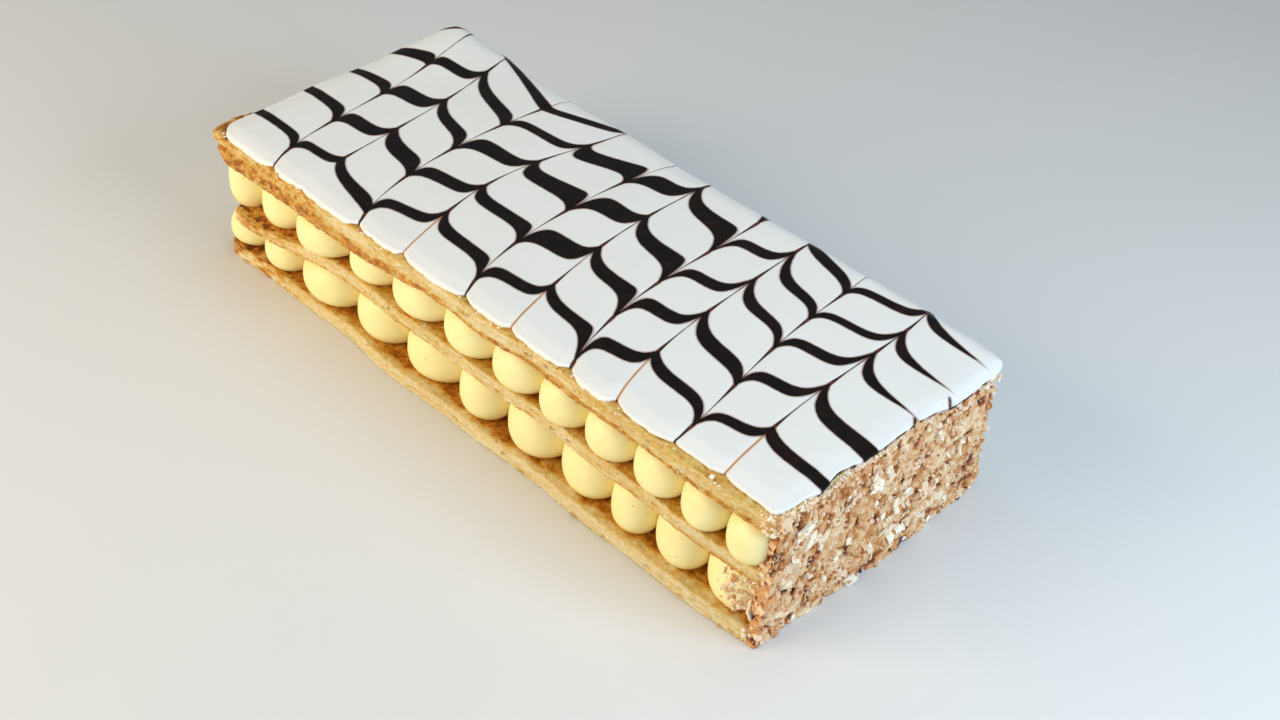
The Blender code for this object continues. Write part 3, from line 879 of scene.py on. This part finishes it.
# A thin broken dark line low on the crumbed end's lip, drawn into the chocolate mask
low_on_lip = (inset_x < 0.30) & (x > 120.0) & (y > -35.0) & (y < 48.0)
choc = np.where(low_on_lip, np.maximum(choc, -0.10 + 0.50 * mottle(321, y, y, 3.0, 3.0)), choc)

groove = 0.14 * np.exp(-np.clip(-hair, 0, 5) / 0.45) * (hair > -3)
pillow = 0.05 * (np.sin(x / 11.0 + 2.0 * np.sin(y / 19.0)) + np.sin(y / 9.0 + 1.7 * np.sin(x / 23.0)))
z = ICING_TOP + lift(x, y) - drop - droop * ease((4.0 - inset) / 4.0) + (pillow - groove) * ease(inset / 3.0)
grid = np.stack([x, y, z], axis=-1)

rows, columns = x.shape
edge_row, edge_column = border(rows, columns)
rim = grid[edge_row, edge_column]
partner = grid[np.clip(edge_row, LIP_ROWS, rows - 1 - LIP_ROWS), np.clip(edge_column, LIP_ROWS, columns - 1 - LIP_ROWS)]
inward = partner[:, :2] - rim[:, :2]
inward /= np.linalg.norm(inward, axis=1)[:, None]
loops = []
for in_by, down_by in ((0.10, 0.25), (0.45, 0.45), (1.2, 0.35)):
    loop = rim.copy()
    loop[:, :2] += inward * in_by
    loop[:, 2] -= down_by
    loops.append(loop)
loop = rim * np.array([1 - 8.0 / 130.0, 1 - 8.0 / 60.0, 1.0])
loop[:, 2] = ICING_UNDER - 0.2 + lift(loop[:, 0], loop[:, 1])
loops.append(loop)
points = np.concatenate([grid.reshape(-1, 3)] + loops)
faces = grid_faces(rows, columns, closed=False)
ring = edge_row * columns + edge_column
for number, loop in enumerate(loops):
    following = rows * columns + number * len(rim) + np.arange(len(rim))
    faces += loop_faces(ring, following)
    ring = following
points, faces = coarse_fill(points, faces, ring, columns - 1, rows - 1, 4)

icing_finish, tree, shader = new_material("feathered fondant icing")
place = add_node(tree, "ShaderNodeTexCoord").outputs["Object"]
depth = add_node(tree, "ShaderNodeAttribute", attribute_name="choc").outputs["Fac"]
hairs = add_node(tree, "ShaderNodeAttribute", attribute_name="hair").outputs["Fac"]
paleness = add_node(tree, "ShaderNodeAttribute", attribute_name="tan").outputs["Fac"]
wobble = add_node(tree, "ShaderNodeTexNoise", {"Vector": place, "Scale": 500.0, "Detail": 2.0})
wavy = add_node(tree, "ShaderNodeMath", {0: wobble.outputs["Fac"], 1: 0.30, 2: -0.15}, operation="MULTIPLY_ADD")
depth = add_node(tree, "ShaderNodeMath", {0: depth, 1: wavy.outputs[0]}, operation="ADD").outputs[0]
clouds = add_node(tree, "ShaderNodeTexNoise", {"Vector": place, "Scale": 35.0, "Detail": 2.0})
fondant = add_node(tree, "ShaderNodeMix", {0: clouds.outputs["Fac"], 6: srgb(240, 238, 233), 7: srgb(233, 230, 222)},
                   data_type="RGBA")
cells = add_node(tree, "ShaderNodeTexVoronoi", {"Vector": place, "Scale": 120.0})
kept = add_node(tree, "ShaderNodeSeparateColor", {"Color": cells.outputs["Color"]})
rare = add_node(tree, "ShaderNodeMath", {0: kept.outputs[0], 1: 0.82}, operation="GREATER_THAN")
dot = add_node(tree, "ShaderNodeMapRange", {"Value": cells.outputs["Distance"], "From Min": 0.018,
                                            "From Max": 0.035, "To Min": 0.7, "To Max": 0.0})
speck = add_node(tree, "ShaderNodeMath", {0: dot.outputs["Result"], 1: rare.outputs[0]}, operation="MULTIPLY")
white = add_node(tree, "ShaderNodeMix", {0: speck.outputs[0], 6: fondant.outputs[2], 7: srgb(90, 60, 45)},
                 data_type="RGBA")
hair_mask = add_node(tree, "ShaderNodeMapRange", {"Value": hairs, "From Min": -0.22, "From Max": 0.10})
hair_shade = add_node(tree, "ShaderNodeMix", {0: paleness, 6: srgb(64, 30, 20), 7: srgb(196, 138, 88)},
                      data_type="RGBA")
haired = add_node(tree, "ShaderNodeMix", {0: hair_mask.outputs["Result"], 6: white.outputs[2],
                                          7: hair_shade.outputs[2]}, data_type="RGBA")
fringe = add_node(tree, "ShaderNodeMapRange", {"Value": depth, "From Min": -0.70, "From Max": 0.0, "To Max": 0.85})
fringed = add_node(tree, "ShaderNodeMix", {0: fringe.outputs["Result"], 6: haired.outputs[2],
                                           7: srgb(124, 66, 44)}, data_type="RGBA")
mask = add_node(tree, "ShaderNodeMapRange", {"Value": depth, "From Min": -0.06, "From Max": 0.10})
swirls = add_node(tree, "ShaderNodeTexNoise", {"Vector": place, "Scale": 240.0, "Detail": 4.0, "Roughness": 0.7})
lighter = add_node(tree, "ShaderNodeMapRange", {"Value": swirls.outputs["Fac"], "From Min": 0.48, "From Max": 0.72})
chocolate = add_node(tree, "ShaderNodeMix", {0: lighter.outputs["Result"], 6: srgb(15, 8, 6), 7: srgb(36, 20, 14)},
                     data_type="RGBA")
iced = add_node(tree, "ShaderNodeMix", {0: mask.outputs["Result"], 6: fringed.outputs[2],
                                        7: chocolate.outputs[2]}, data_type="RGBA")
dull = add_node(tree, "ShaderNodeMapRange", {"Value": clouds.outputs["Fac"], "To Min": 0.20, "To Max": 0.32})
ripples = add_node(tree, "ShaderNodeTexNoise", {"Vector": place, "Scale": 220.0, "Detail": 2.0})
bump = add_node(tree, "ShaderNodeBump", {"Height": ripples.outputs["Fac"], "Strength": 0.10, "Distance": 0.0004})
tree.links.new(iced.outputs[2], shader.inputs["Base Color"])
tree.links.new(dull.outputs["Result"], shader.inputs["Roughness"])
tree.links.new(bump.outputs["Normal"], shader.inputs["Normal"])
shader.inputs["Specular IOR Level"].default_value = 0.20
shader.inputs["Subsurface Weight"].default_value = 0.08
shader.inputs["Subsurface Radius"].default_value = (1.0, 0.9, 0.8)
shader.inputs["Subsurface Scale"].default_value = 0.001

fields = {}
for field, values, beyond in (("choc", choc, -1.0), ("hair", hair, -9.0), ("tan", tan, 0.0)):
    on_loops = [values[edge_row, edge_column]] * len(loops)
    fields[field] = np.append(np.concatenate([values.reshape(-1)] + on_loops), beyond)
icing = make_piece("feathered_icing", points, faces, icing_finish, fields)
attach(icing, "root")
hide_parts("icing")

# ----------------------------------------------------------------------------------------------
# Crumbs of baked puff pastry pressed onto the cut end, over all three sheets: a packed bed with
# chunks, thin flakes and fine grains on it, from cream-white to deep red-brown.
# ----------------------------------------------------------------------------------------------
COAT_INNER = 127.4
COAT_EDGE = 55.0
COAT_HEAD_Z = 53.2
COAT_ROWS = 181
COAT_COLUMNS = 365
WRAP_COLUMNS = 24
WRAP_STEP = 0.35
BED_BELOW = 0.7               # how far the bed lies under the crumbs' outer face


def coat_surface(y, height):
    """x of the crumbs' outer face: thick at the foot, thinner at its front corner and on top."""
    foot = 2.4 + 3.95 * ease((y + COAT_EDGE) / 70.0)
    return COAT_INNER + foot + (1.8 - foot) * height ** 1.4


def packed(seed, a, b, size):
    """Lumps packed side by side: how far in from the nearest crack, 0 to 1, and a number of each lump."""
    rng = np.random.default_rng(seed)
    count = 96
    seats = rng.uniform(0.05, 0.95, (count, count, 2))
    marks = rng.uniform(-1, 1, (count, count))
    a = a / size
    b = b / size
    nearest = np.full(a.shape, 9.0)
    next_nearest = np.full(a.shape, 9.0)
    mark = np.zeros(a.shape)
    for step_a in (-1, 0, 1):
        for step_b in (-1, 0, 1):
            i = np.floor(a).astype(int) + step_a
            j = np.floor(b).astype(int) + step_b
            seat = seats[i % count, j % count]
            away = np.hypot(a - i - seat[..., 0], b - j - seat[..., 1])
            mark = np.where(away < nearest, marks[i % count, j % count], mark)
            next_nearest = np.where(away < nearest, nearest, np.minimum(next_nearest, away))
            nearest = np.minimum(nearest, away)
    return np.clip((next_nearest - nearest) * 1.5, 0.0, 1.0), mark


# The bed's columns run across the cut end, and at both sides back round its corner
v = np.linspace(-1, 1, COAT_COLUMNS)
turned = WRAP_STEP * np.arange(1, WRAP_COLUMNS + 1)
side = np.concatenate([np.full(WRAP_COLUMNS, -1.0), v, np.full(WRAP_COLUMNS, 1.0)])[None, :]
back_by = np.concatenate([turned[::-1], 0 * v, turned])[None, :]
h = np.linspace(0, 1, COAT_ROWS)[:, None]
side_y = side * (COAT_EDGE + 0.2) + np.maximum(side, 0) ** 4 * (0.8 + 4.4 * (1 - h))
z = COAT_HEAD_Z * h + 0 * side_y
a = side_y + np.sign(side) * back_by + 0.5 * mottle(406, side_y, z, 1.6, 1.6)
b = z + 0.5 * mottle(407, side_y, z, 1.6, 1.6)
small, small_mark = packed(402, a, b, 1.7)
soft = mottle(408, a, b, 4.4, 3.8)
knobs = mottle(409, a, b, 2.0, 1.8)
pits = np.maximum(mottle(410, a, b, 3.3, 2.7) + 0.35 * mottle(411, a, b, 1.3, 1.2) - 0.26, 0.0)
lumps = 0.65 * soft + 0.50 * knobs + 0.35 * (np.sqrt(small) - 0.6) + 0.22 * small_mark - 1.5 * pits
round_corner = ease(back_by / 1.5)
x = coat_surface(side_y, h + 0 * side_y) - BED_BELOW + lumps * (1 - round_corner) - back_by
y = side_y + np.sign(side) * (lumps * round_corner * 0.8 - 4.0 * ease((back_by - 3.5) / 4.0) - 0.5 * round_corner)
bed_grid = np.stack([np.minimum(x, 133.6), y, z], axis=-1)
bed_columns = bed_grid.shape[1]
edge_row, edge_column = border(COAT_ROWS, bed_columns)
back_of_bed = bed_grid[edge_row, edge_column].copy()
back_of_bed[:, 0] = COAT_INNER - 0.2 - np.broadcast_to(back_by, z.shape)[edge_row, edge_column]
back_of_bed[:, 1] *= 0.88
points = np.concatenate([bed_grid.reshape(-1, 3), back_of_bed])
faces = grid_faces(COAT_ROWS, bed_columns, closed=False)
following = COAT_ROWS * bed_columns + np.arange(len(back_of_bed))
faces += loop_faces(edge_row * bed_columns + edge_column, following)
points, faces = coarse_fill(points, faces, following, bed_columns - 1, COAT_ROWS - 1, 4)

CRUMB_STOPS = ((0.0, (254, 242, 220)), (0.22, (242, 217, 182)), (0.45, (225, 182, 134)),
               (0.62, (205, 143, 82)), (0.78, (180, 102, 44)), (0.92, (130, 62, 32)), (1.0, (84, 38, 28)))
crumb_finish, tree, shader = new_material("pastry crumbs")
place = add_node(tree, "ShaderNodeTexCoord").outputs["Object"]
tone = add_node(tree, "ShaderNodeAttribute", attribute_name="tone").outputs["Fac"]
spots = add_node(tree, "ShaderNodeTexNoise", {"Vector": place, "Scale": 700.0, "Detail": 4.0, "Roughness": 0.6})
shifted = add_node(tree, "ShaderNodeMath", {0: spots.outputs["Fac"], 1: 0.36, 2: -0.18}, operation="MULTIPLY_ADD")
toned = add_node(tree, "ShaderNodeMath", {0: tone, 1: shifted.outputs[0]}, operation="ADD")
shades = add_node(tree, "ShaderNodeValToRGB", {"Fac": toned.outputs[0]})
set_ramp(shades.color_ramp, CRUMB_STOPS)
fine = add_node(tree, "ShaderNodeTexNoise", {"Vector": place, "Scale": 2200.0, "Detail": 2.0})
bump = add_node(tree, "ShaderNodeBump", {"Height": fine.outputs["Fac"], "Strength": 0.5, "Distance": 0.0003})
tree.links.new(shades.outputs["Color"], shader.inputs["Base Color"])
tree.links.new(bump.outputs["Normal"], shader.inputs["Normal"])
shader.inputs["Roughness"].default_value = 0.50
shader.inputs["Specular IOR Level"].default_value = 0.4

# Bed tone: the broad mottle, the red-brown patches (reds) and each lump's own mark are the crumbs' colour. The darker
# pits are partly toasted crumbs and partly painted shade. Darkening along the cracks between lumps and paler tops on
# the higher relief (soft, knobs) are painted shade.
reds = np.maximum(mottle(412, a, b, 2.8, 2.2) - 0.50, 0.0)
bed_tone_and_shade = (0.47 + 0.12 * mottle(404, a, b, 8.0, 6.0) - 0.14 * soft - 0.10 * knobs + 0.08 * small_mark
            + 0.95 * pits + 0.90 * reds + 0.10 * ease(1 - small / 0.4))
bed = make_piece("crumb_bed", points, faces, crumb_finish, {"tone": np.append(bed_tone_and_shade.reshape(-1), 0.5)})
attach(bed, "root")
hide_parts("crumb_coat")


def crumb_shapes(name, count, seed, make):
    """A collection of a few small shapes, one millimetre wide, for the scattering to pick from."""
    group = bpy.data.collections.new(name)
    for number in range(count):
        bm = bmesh.new()
        make(bm, np.random.default_rng(seed + number))
        bmesh.ops.recalc_face_normals(bm, faces=bm.faces)
        mesh = bpy.data.meshes.new(f"{name}_{number}")
        bm.to_mesh(mesh)
        bm.free()
        group.objects.link(bpy.data.objects.new(f"{name}_{number}", mesh))
    return group


def chunk(detail):
    """A rough broken lump."""
    def make(bm, rng):
        bmesh.ops.create_icosphere(bm, subdivisions=detail, radius=0.5 * MM)
        stretch_by = Vector(rng.uniform(0.65, 1.25, 3))
        for vert in bm.verts:
            vert.co = vert.co * stretch_by * rng.uniform(0.72, 1.2)
    return make


def flake(bm, rng):
    """A thin curled scrap of pastry with a broken outline."""
    bmesh.ops.create_grid(bm, x_segments=3, y_segments=2, size=0.5 * MM)
    curl = rng.uniform(0.1, 0.5)
    narrow = rng.uniform(0.5, 0.95)
    for vert in bm.verts:
        jitter = Vector(rng.uniform(-0.09, 0.09, 3)) * MM
        vert.co = Vector((vert.co.x, vert.co.y * narrow, curl * vert.co.x ** 2 / MM)) + jitter
    raised = bmesh.ops.extrude_face_region(bm, geom=bm.faces[:])
    for item in raised["geom"]:
        if isinstance(item, bmesh.types.BMVert):
            item.co.z += 0.14 * MM


scatter = bpy.data.node_groups.new("scatter crumbs", "GeometryNodeTree")
for label, kind in (("Geometry", "Geometry"), ("Shapes", "Collection"), ("Per square metre", "Float"),
                    ("Smallest", "Float"), ("Largest", "Float"), ("Tilt", "Float"), ("Palest", "Float"),
                    ("Darkest", "Float"), ("Patchiness", "Float"), ("Lie level", "Bool"), ("Seed", "Int"),
                    ("Finish", "Material")):
    scatter.interface.new_socket(label, in_out="INPUT", socket_type="NodeSocket" + kind)
scatter.interface.new_socket("Geometry", in_out="OUTPUT", socket_type="NodeSocketGeometry")
given = add_node(scatter, "NodeGroupInput").outputs
held = add_node(scatter, "GeometryNodeInputNamedAttribute", {"Name": "hold"}, data_type="FLOAT")
density = add_node(scatter, "ShaderNodeMath", {0: given["Per square metre"], 1: held.outputs["Attribute"]},
                   operation="MULTIPLY")
spread = add_node(scatter, "GeometryNodeDistributePointsOnFaces",
                  {"Mesh": given["Geometry"], "Density": density.outputs[0], "Seed": given["Seed"]})
shapes = add_node(scatter, "GeometryNodeCollectionInfo",
                  {"Collection": given["Shapes"], "Separate Children": True, "Reset Children": True})
backwards = add_node(scatter, "ShaderNodeMath", {0: given["Tilt"], 1: -1.0}, operation="MULTIPLY")
lowest = add_node(scatter, "ShaderNodeCombineXYZ", {"X": backwards.outputs[0], "Y": backwards.outputs[0], "Z": -math.pi})
highest = add_node(scatter, "ShaderNodeCombineXYZ", {"X": given["Tilt"], "Y": given["Tilt"], "Z": math.pi})
turn = add_node(scatter, "FunctionNodeRandomValue", {"Min": lowest.outputs[0], "Max": highest.outputs[0],
                                                     "Seed": given["Seed"]}, data_type="FLOAT_VECTOR")
facing = add_node(scatter, "GeometryNodeSwitch", {"Switch": given["Lie level"], "False": spread.outputs["Rotation"]},
                  input_type="ROTATION")
turned = add_node(scatter, "FunctionNodeRotateRotation", {"Rotation": facing.outputs[0],
                                                          "Rotate By": turn.outputs["Value"]}, rotation_space="LOCAL")
next_seed = add_node(scatter, "ShaderNodeMath", {0: given["Seed"], 1: 1.0}, operation="ADD")
chance = add_node(scatter, "FunctionNodeRandomValue", {2: 0.0, 3: 1.0, "Seed": next_seed.outputs[0]},
                  data_type="FLOAT")
skewed = add_node(scatter, "ShaderNodeMath", {0: chance.outputs[1], 1: 2.2}, operation="POWER")
size = add_node(scatter, "ShaderNodeMapRange", {"Value": skewed.outputs[0], "To Min": given["Smallest"],
                                                "To Max": given["Largest"]})
placed = add_node(scatter, "GeometryNodeInstanceOnPoints",
                  {"Points": spread.outputs["Points"], "Instance": shapes.outputs[0], "Pick Instance": True,
                   "Rotation": turned.outputs[0], "Scale": size.outputs["Result"]})
third_seed = add_node(scatter, "ShaderNodeMath", {0: given["Seed"], 1: 2.0}, operation="ADD")
shade = add_node(scatter, "FunctionNodeRandomValue", {2: given["Palest"], 3: given["Darkest"],
                                                      "Seed": third_seed.outputs[0]}, data_type="FLOAT")
patches = add_node(scatter, "ShaderNodeTexNoise", {"Vector": add_node(scatter, "GeometryNodeInputPosition").outputs[0],
                                                  "Scale": 260.0, "Detail": 1.0})
patch = add_node(scatter, "ShaderNodeMath", {0: patches.outputs["Fac"], 1: 0.5}, operation="SUBTRACT")
shade = add_node(scatter, "ShaderNodeMath", {0: patch.outputs[0], 1: given["Patchiness"], 2: shade.outputs[1]},
                 operation="MULTIPLY_ADD")
toned = add_node(scatter, "GeometryNodeStoreNamedAttribute",
                 {"Geometry": placed.outputs[0], "Name": "tone", "Value": shade.outputs[0]},
                 data_type="FLOAT", domain="INSTANCE")
real = add_node(scatter, "GeometryNodeRealizeInstances", {0: toned.outputs[0]})
finished = add_node(scatter, "GeometryNodeSetMaterial", {"Geometry": real.outputs[0], "Material": given["Finish"]})
end = add_node(scatter, "NodeGroupOutput", {"Geometry": finished.outputs[0]})


def add_crumbs(name, pieces, weigh, shapes, per_square_mm, sizes, tilt, tones, seed, finish=crumb_finish,
               patchiness=1.3, level=False):
    """Scatter one kind of crumb on some pieces, as dense as weigh(x, y, z) says, and make it a piece."""
    bm = bmesh.new()
    for piece in pieces:
        bm.from_mesh(piece.data)
    surface = bpy.data.meshes.new("surface")
    bm.to_mesh(surface)
    bm.free()
    places = np.zeros(len(surface.vertices) * 3)
    surface.vertices.foreach_get("co", places)
    hold = np.clip(weigh(*(places.reshape(-1, 3).T / MM)), 0.0, 1.0)
    surface.attributes.new("hold", "FLOAT", "POINT").data.foreach_set("value", hold.astype(np.float32))
    source = bpy.data.objects.new("surface", surface)
    scene.collection.objects.link(source)
    values = {"Shapes": shapes, "Per square metre": per_square_mm / MM ** 2, "Smallest": sizes[0],
              "Largest": sizes[1], "Tilt": tilt, "Palest": tones[0], "Darkest": tones[1],
              "Patchiness": patchiness, "Lie level": level, "Seed": seed, "Finish": finish}
    modifier = source.modifiers.new("scatter", "NODES")
    modifier.node_group = scatter
    for item in scatter.interface.items_tree:
        if item.in_out == "INPUT" and item.name in values:
            modifier[item.identifier] = values[item.name]
    depsgraph = bpy.context.evaluated_depsgraph_get()
    mesh = bpy.data.meshes.new_from_object(source.evaluated_get(depsgraph), depsgraph=depsgraph)
    source.modifiers.remove(modifier)
    bpy.data.objects.remove(source)
    mesh.name = name
    places = np.zeros(len(mesh.vertices) * 3)
    mesh.vertices.foreach_get("co", places)
    places = places.reshape(-1, 3)
    places[:, 0] = np.minimum(places[:, 0], cad_high[0] - 0.1 * MM)
    places[:, 1] = np.clip(places[:, 1], cad_low[1] + 0.05 * MM, cad_high[1] - 0.05 * MM)
    places[:, 2] = np.maximum(places[:, 2], 0.0)
    mesh.vertices.foreach_set("co", places.reshape(-1))
    piece = bpy.data.objects.new(name, mesh)
    scene.collection.objects.link(piece)
    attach(piece, "root")
    return piece


def on_the_end(x, y, z):
    """The whole outer face of the bed, thinning out under the icing."""
    return (x > COAT_INNER - 6.0) * (np.abs(y) > 50.0 - 60.0 * (x > COAT_INNER)) * ease((COAT_HEAD_Z + 1.0 - z) / 1.5)


def on_the_corners(x, y, z):
    """The last few millimetres of both long sides, next to the cut end."""
    return ease((x - 120.5 - 1.5 * np.sin(z / 2.0)) / 5.5) * (np.abs(y) > 49.0) * (z < 53.6)


def beside_the_icing(x, y, z):
    """The strip of pastry and crumbs left bare along the icing's crumbed end."""
    bare_corner = ease((x - 120.0) / 4.0) * ease((-y - 40.0) / 8.0)
    return (z > 51.5) * (bare_corner + ease((x - 124.8) / 1.2) * ease((2.0 - y) / 8.0)) + (z > 52.0) * (x > COAT_INNER) * 0.6


def before_the_icing(x, y, z):
    """The narrow strip of the top sheet left bare along its front edge."""
    return (z > 53.0) * ease((-y - 55.5) / 0.8) * (x < 122.0)


def on_cut_edges(x, y, z):
    """The long edges and the open end of the sheets."""
    return (np.maximum(ease((np.abs(y) - 54.6) / 1.2), ease((-x - 119.0) / 1.2)) * (x < 121.0)
            * (1 - 0.6 * ease((z - 53.2) / 0.3)))


def beside_the_coat(x, y, z):
    """The side of the last lower ball next to the crumbed end."""
    return ease((x - 116.5 + 0.35 * z) / 5.0) * (y < -40.0)


chunks = crumb_shapes("chunk", 5, 510, chunk(2))
grits = crumb_shapes("grit", 5, 520, chunk(1))
flakes = crumb_shapes("flake", 6, 530, flake)
sheet_pieces = [piece for piece, _ in sheets]
add_crumbs("coat_chunks", [bed], on_the_end, chunks, 0.040, (1.2, 3.6), math.pi, (0.22, 0.66), 41)
add_crumbs("coat_grit", [bed], on_the_end, grits, 0.14, (0.5, 1.6), math.pi, (0.15, 0.80), 42)
add_crumbs("coat_flakes", [bed], on_the_end, flakes, 0.022, (1.6, 5.5), 0.5, (0.00, 0.50), 43)
add_crumbs("corner_crumbs", sheet_pieces, on_the_corners, grits, 0.9, (0.7, 2.6), math.pi, (-0.15, 0.42), 44)
add_crumbs("pale_dust", sheet_pieces[2:] + [bed], beside_the_icing, grits, 2.0, (0.4, 1.3), math.pi, (0.0, 0.30), 45,
           patchiness=0.5)
add_crumbs("icing_bits", sheet_pieces[2:], before_the_icing, flakes, 0.07, (0.6, 1.6), 0.3, (-0.15, 0.15), 48,
           patchiness=0.3, level=True)
add_crumbs("edge_leaves", sheet_pieces, on_cut_edges, flakes, 0.025, (0.8, 2.3), 0.25, (0.00, 0.40), 46,
           pastry_finish, 0.5, True)

# Golden crumbs stuck to the last ball of the lower row, where it meets the coat
add_crumbs("ball_crumbs", [balls["cream_lower_front_11"]], beside_the_coat, grits, 0.4, (0.9, 2.8), math.pi,
           (0.05, 0.45), 49)

# A few larger scraps of pastry pressed flat among the crumbs: y, z, length, width, turn and tone
SCRAPS = ((-22.0, 46.5, 7.5, 5.5, 0.5, 0.66), (-38.0, 35.0, 8.5, 3.6, 1.1, 0.10), (-30.5, 32.5, 5.5, 4.0, 0.7, 0.22),
          (-22.0, 18.0, 5.0, 2.6, 1.3, 0.08), (-45.0, 22.0, 5.0, 3.4, 0.3, 0.20), (6.0, 13.0, 6.0, 3.5, 0.9, 0.24),
          (-12.0, 36.0, 4.5, 3.0, 2.0, 0.52), (12.0, 30.0, 4.0, 3.2, 0.2, 0.35), (28.0, 40.0, 4.6, 3.0, 2.4, 0.28),
          (40.0, 20.0, 5.0, 3.4, 1.6, 0.40), (-50.0, 42.0, 3.6, 2.6, 1.0, 0.66), (22.0, 8.0, 5.2, 3.0, 2.7, 0.30))
SCRAP_CELLS = (9, 7)
scrap_points = []
scrap_faces = []
scrap_tones = []
rng = np.random.default_rng(550)
for at_y, at_z, length, width, turn, shade in SCRAPS:
    a, b = np.meshgrid(np.linspace(-1, 1, SCRAP_CELLS[0]), np.linspace(-1, 1, SCRAP_CELLS[1]))
    round_off = np.sqrt(1 - 0.38 * np.minimum(a ** 2, b ** 2) * 2)
    torn = 1 + 0.10 * rng.uniform(-1, 1, a.shape) * np.maximum(abs(a), abs(b))
    along = a * round_off * torn * length / 2
    across = b * round_off * torn * width / 2
    arch = 0.9 - 0.9 * a ** 2 - 0.5 * b ** 2 + 0.12 * rng.uniform(-1, 1, a.shape)
    at_x = coat_surface(at_y, at_z / COAT_HEAD_Z) - 0.9
    outer = np.stack([at_x + arch, at_y + along * math.cos(turn) - across * math.sin(turn),
                      at_z + along * math.sin(turn) + across * math.cos(turn)], axis=-1).reshape(-1, 3)
    edge_row, edge_column = border(SCRAP_CELLS[1], SCRAP_CELLS[0])
    rim = outer[edge_row * SCRAP_CELLS[0] + edge_column] - np.array([0.5, 0.0, 0.0])
    start = len(np.concatenate(scrap_points)) if scrap_points else 0
    inner_start = start + len(outer)
    grid = grid_faces(SCRAP_CELLS[1], SCRAP_CELLS[0], closed=False)
    scrap_faces += [[start + corner for corner in face] for face in grid]
    inner = outer - np.array([0.5, 0.0, 0.0])
    scrap_faces += [[inner_start + corner for corner in reversed(face)] for face in grid]
    ring = edge_row * SCRAP_CELLS[0] + edge_column
    scrap_faces += loop_faces(start + ring, inner_start + ring)
    scrap_points += [outer, inner]
    scrap_tones += [np.full(2 * len(outer), shade) + 0.08 * rng.uniform(-1, 1, 2 * len(outer))]
scraps = make_piece("pastry_scraps", np.concatenate(scrap_points), scrap_faces, crumb_finish,
                    {"tone": np.concatenate(scrap_tones)})
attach(scraps, "root")
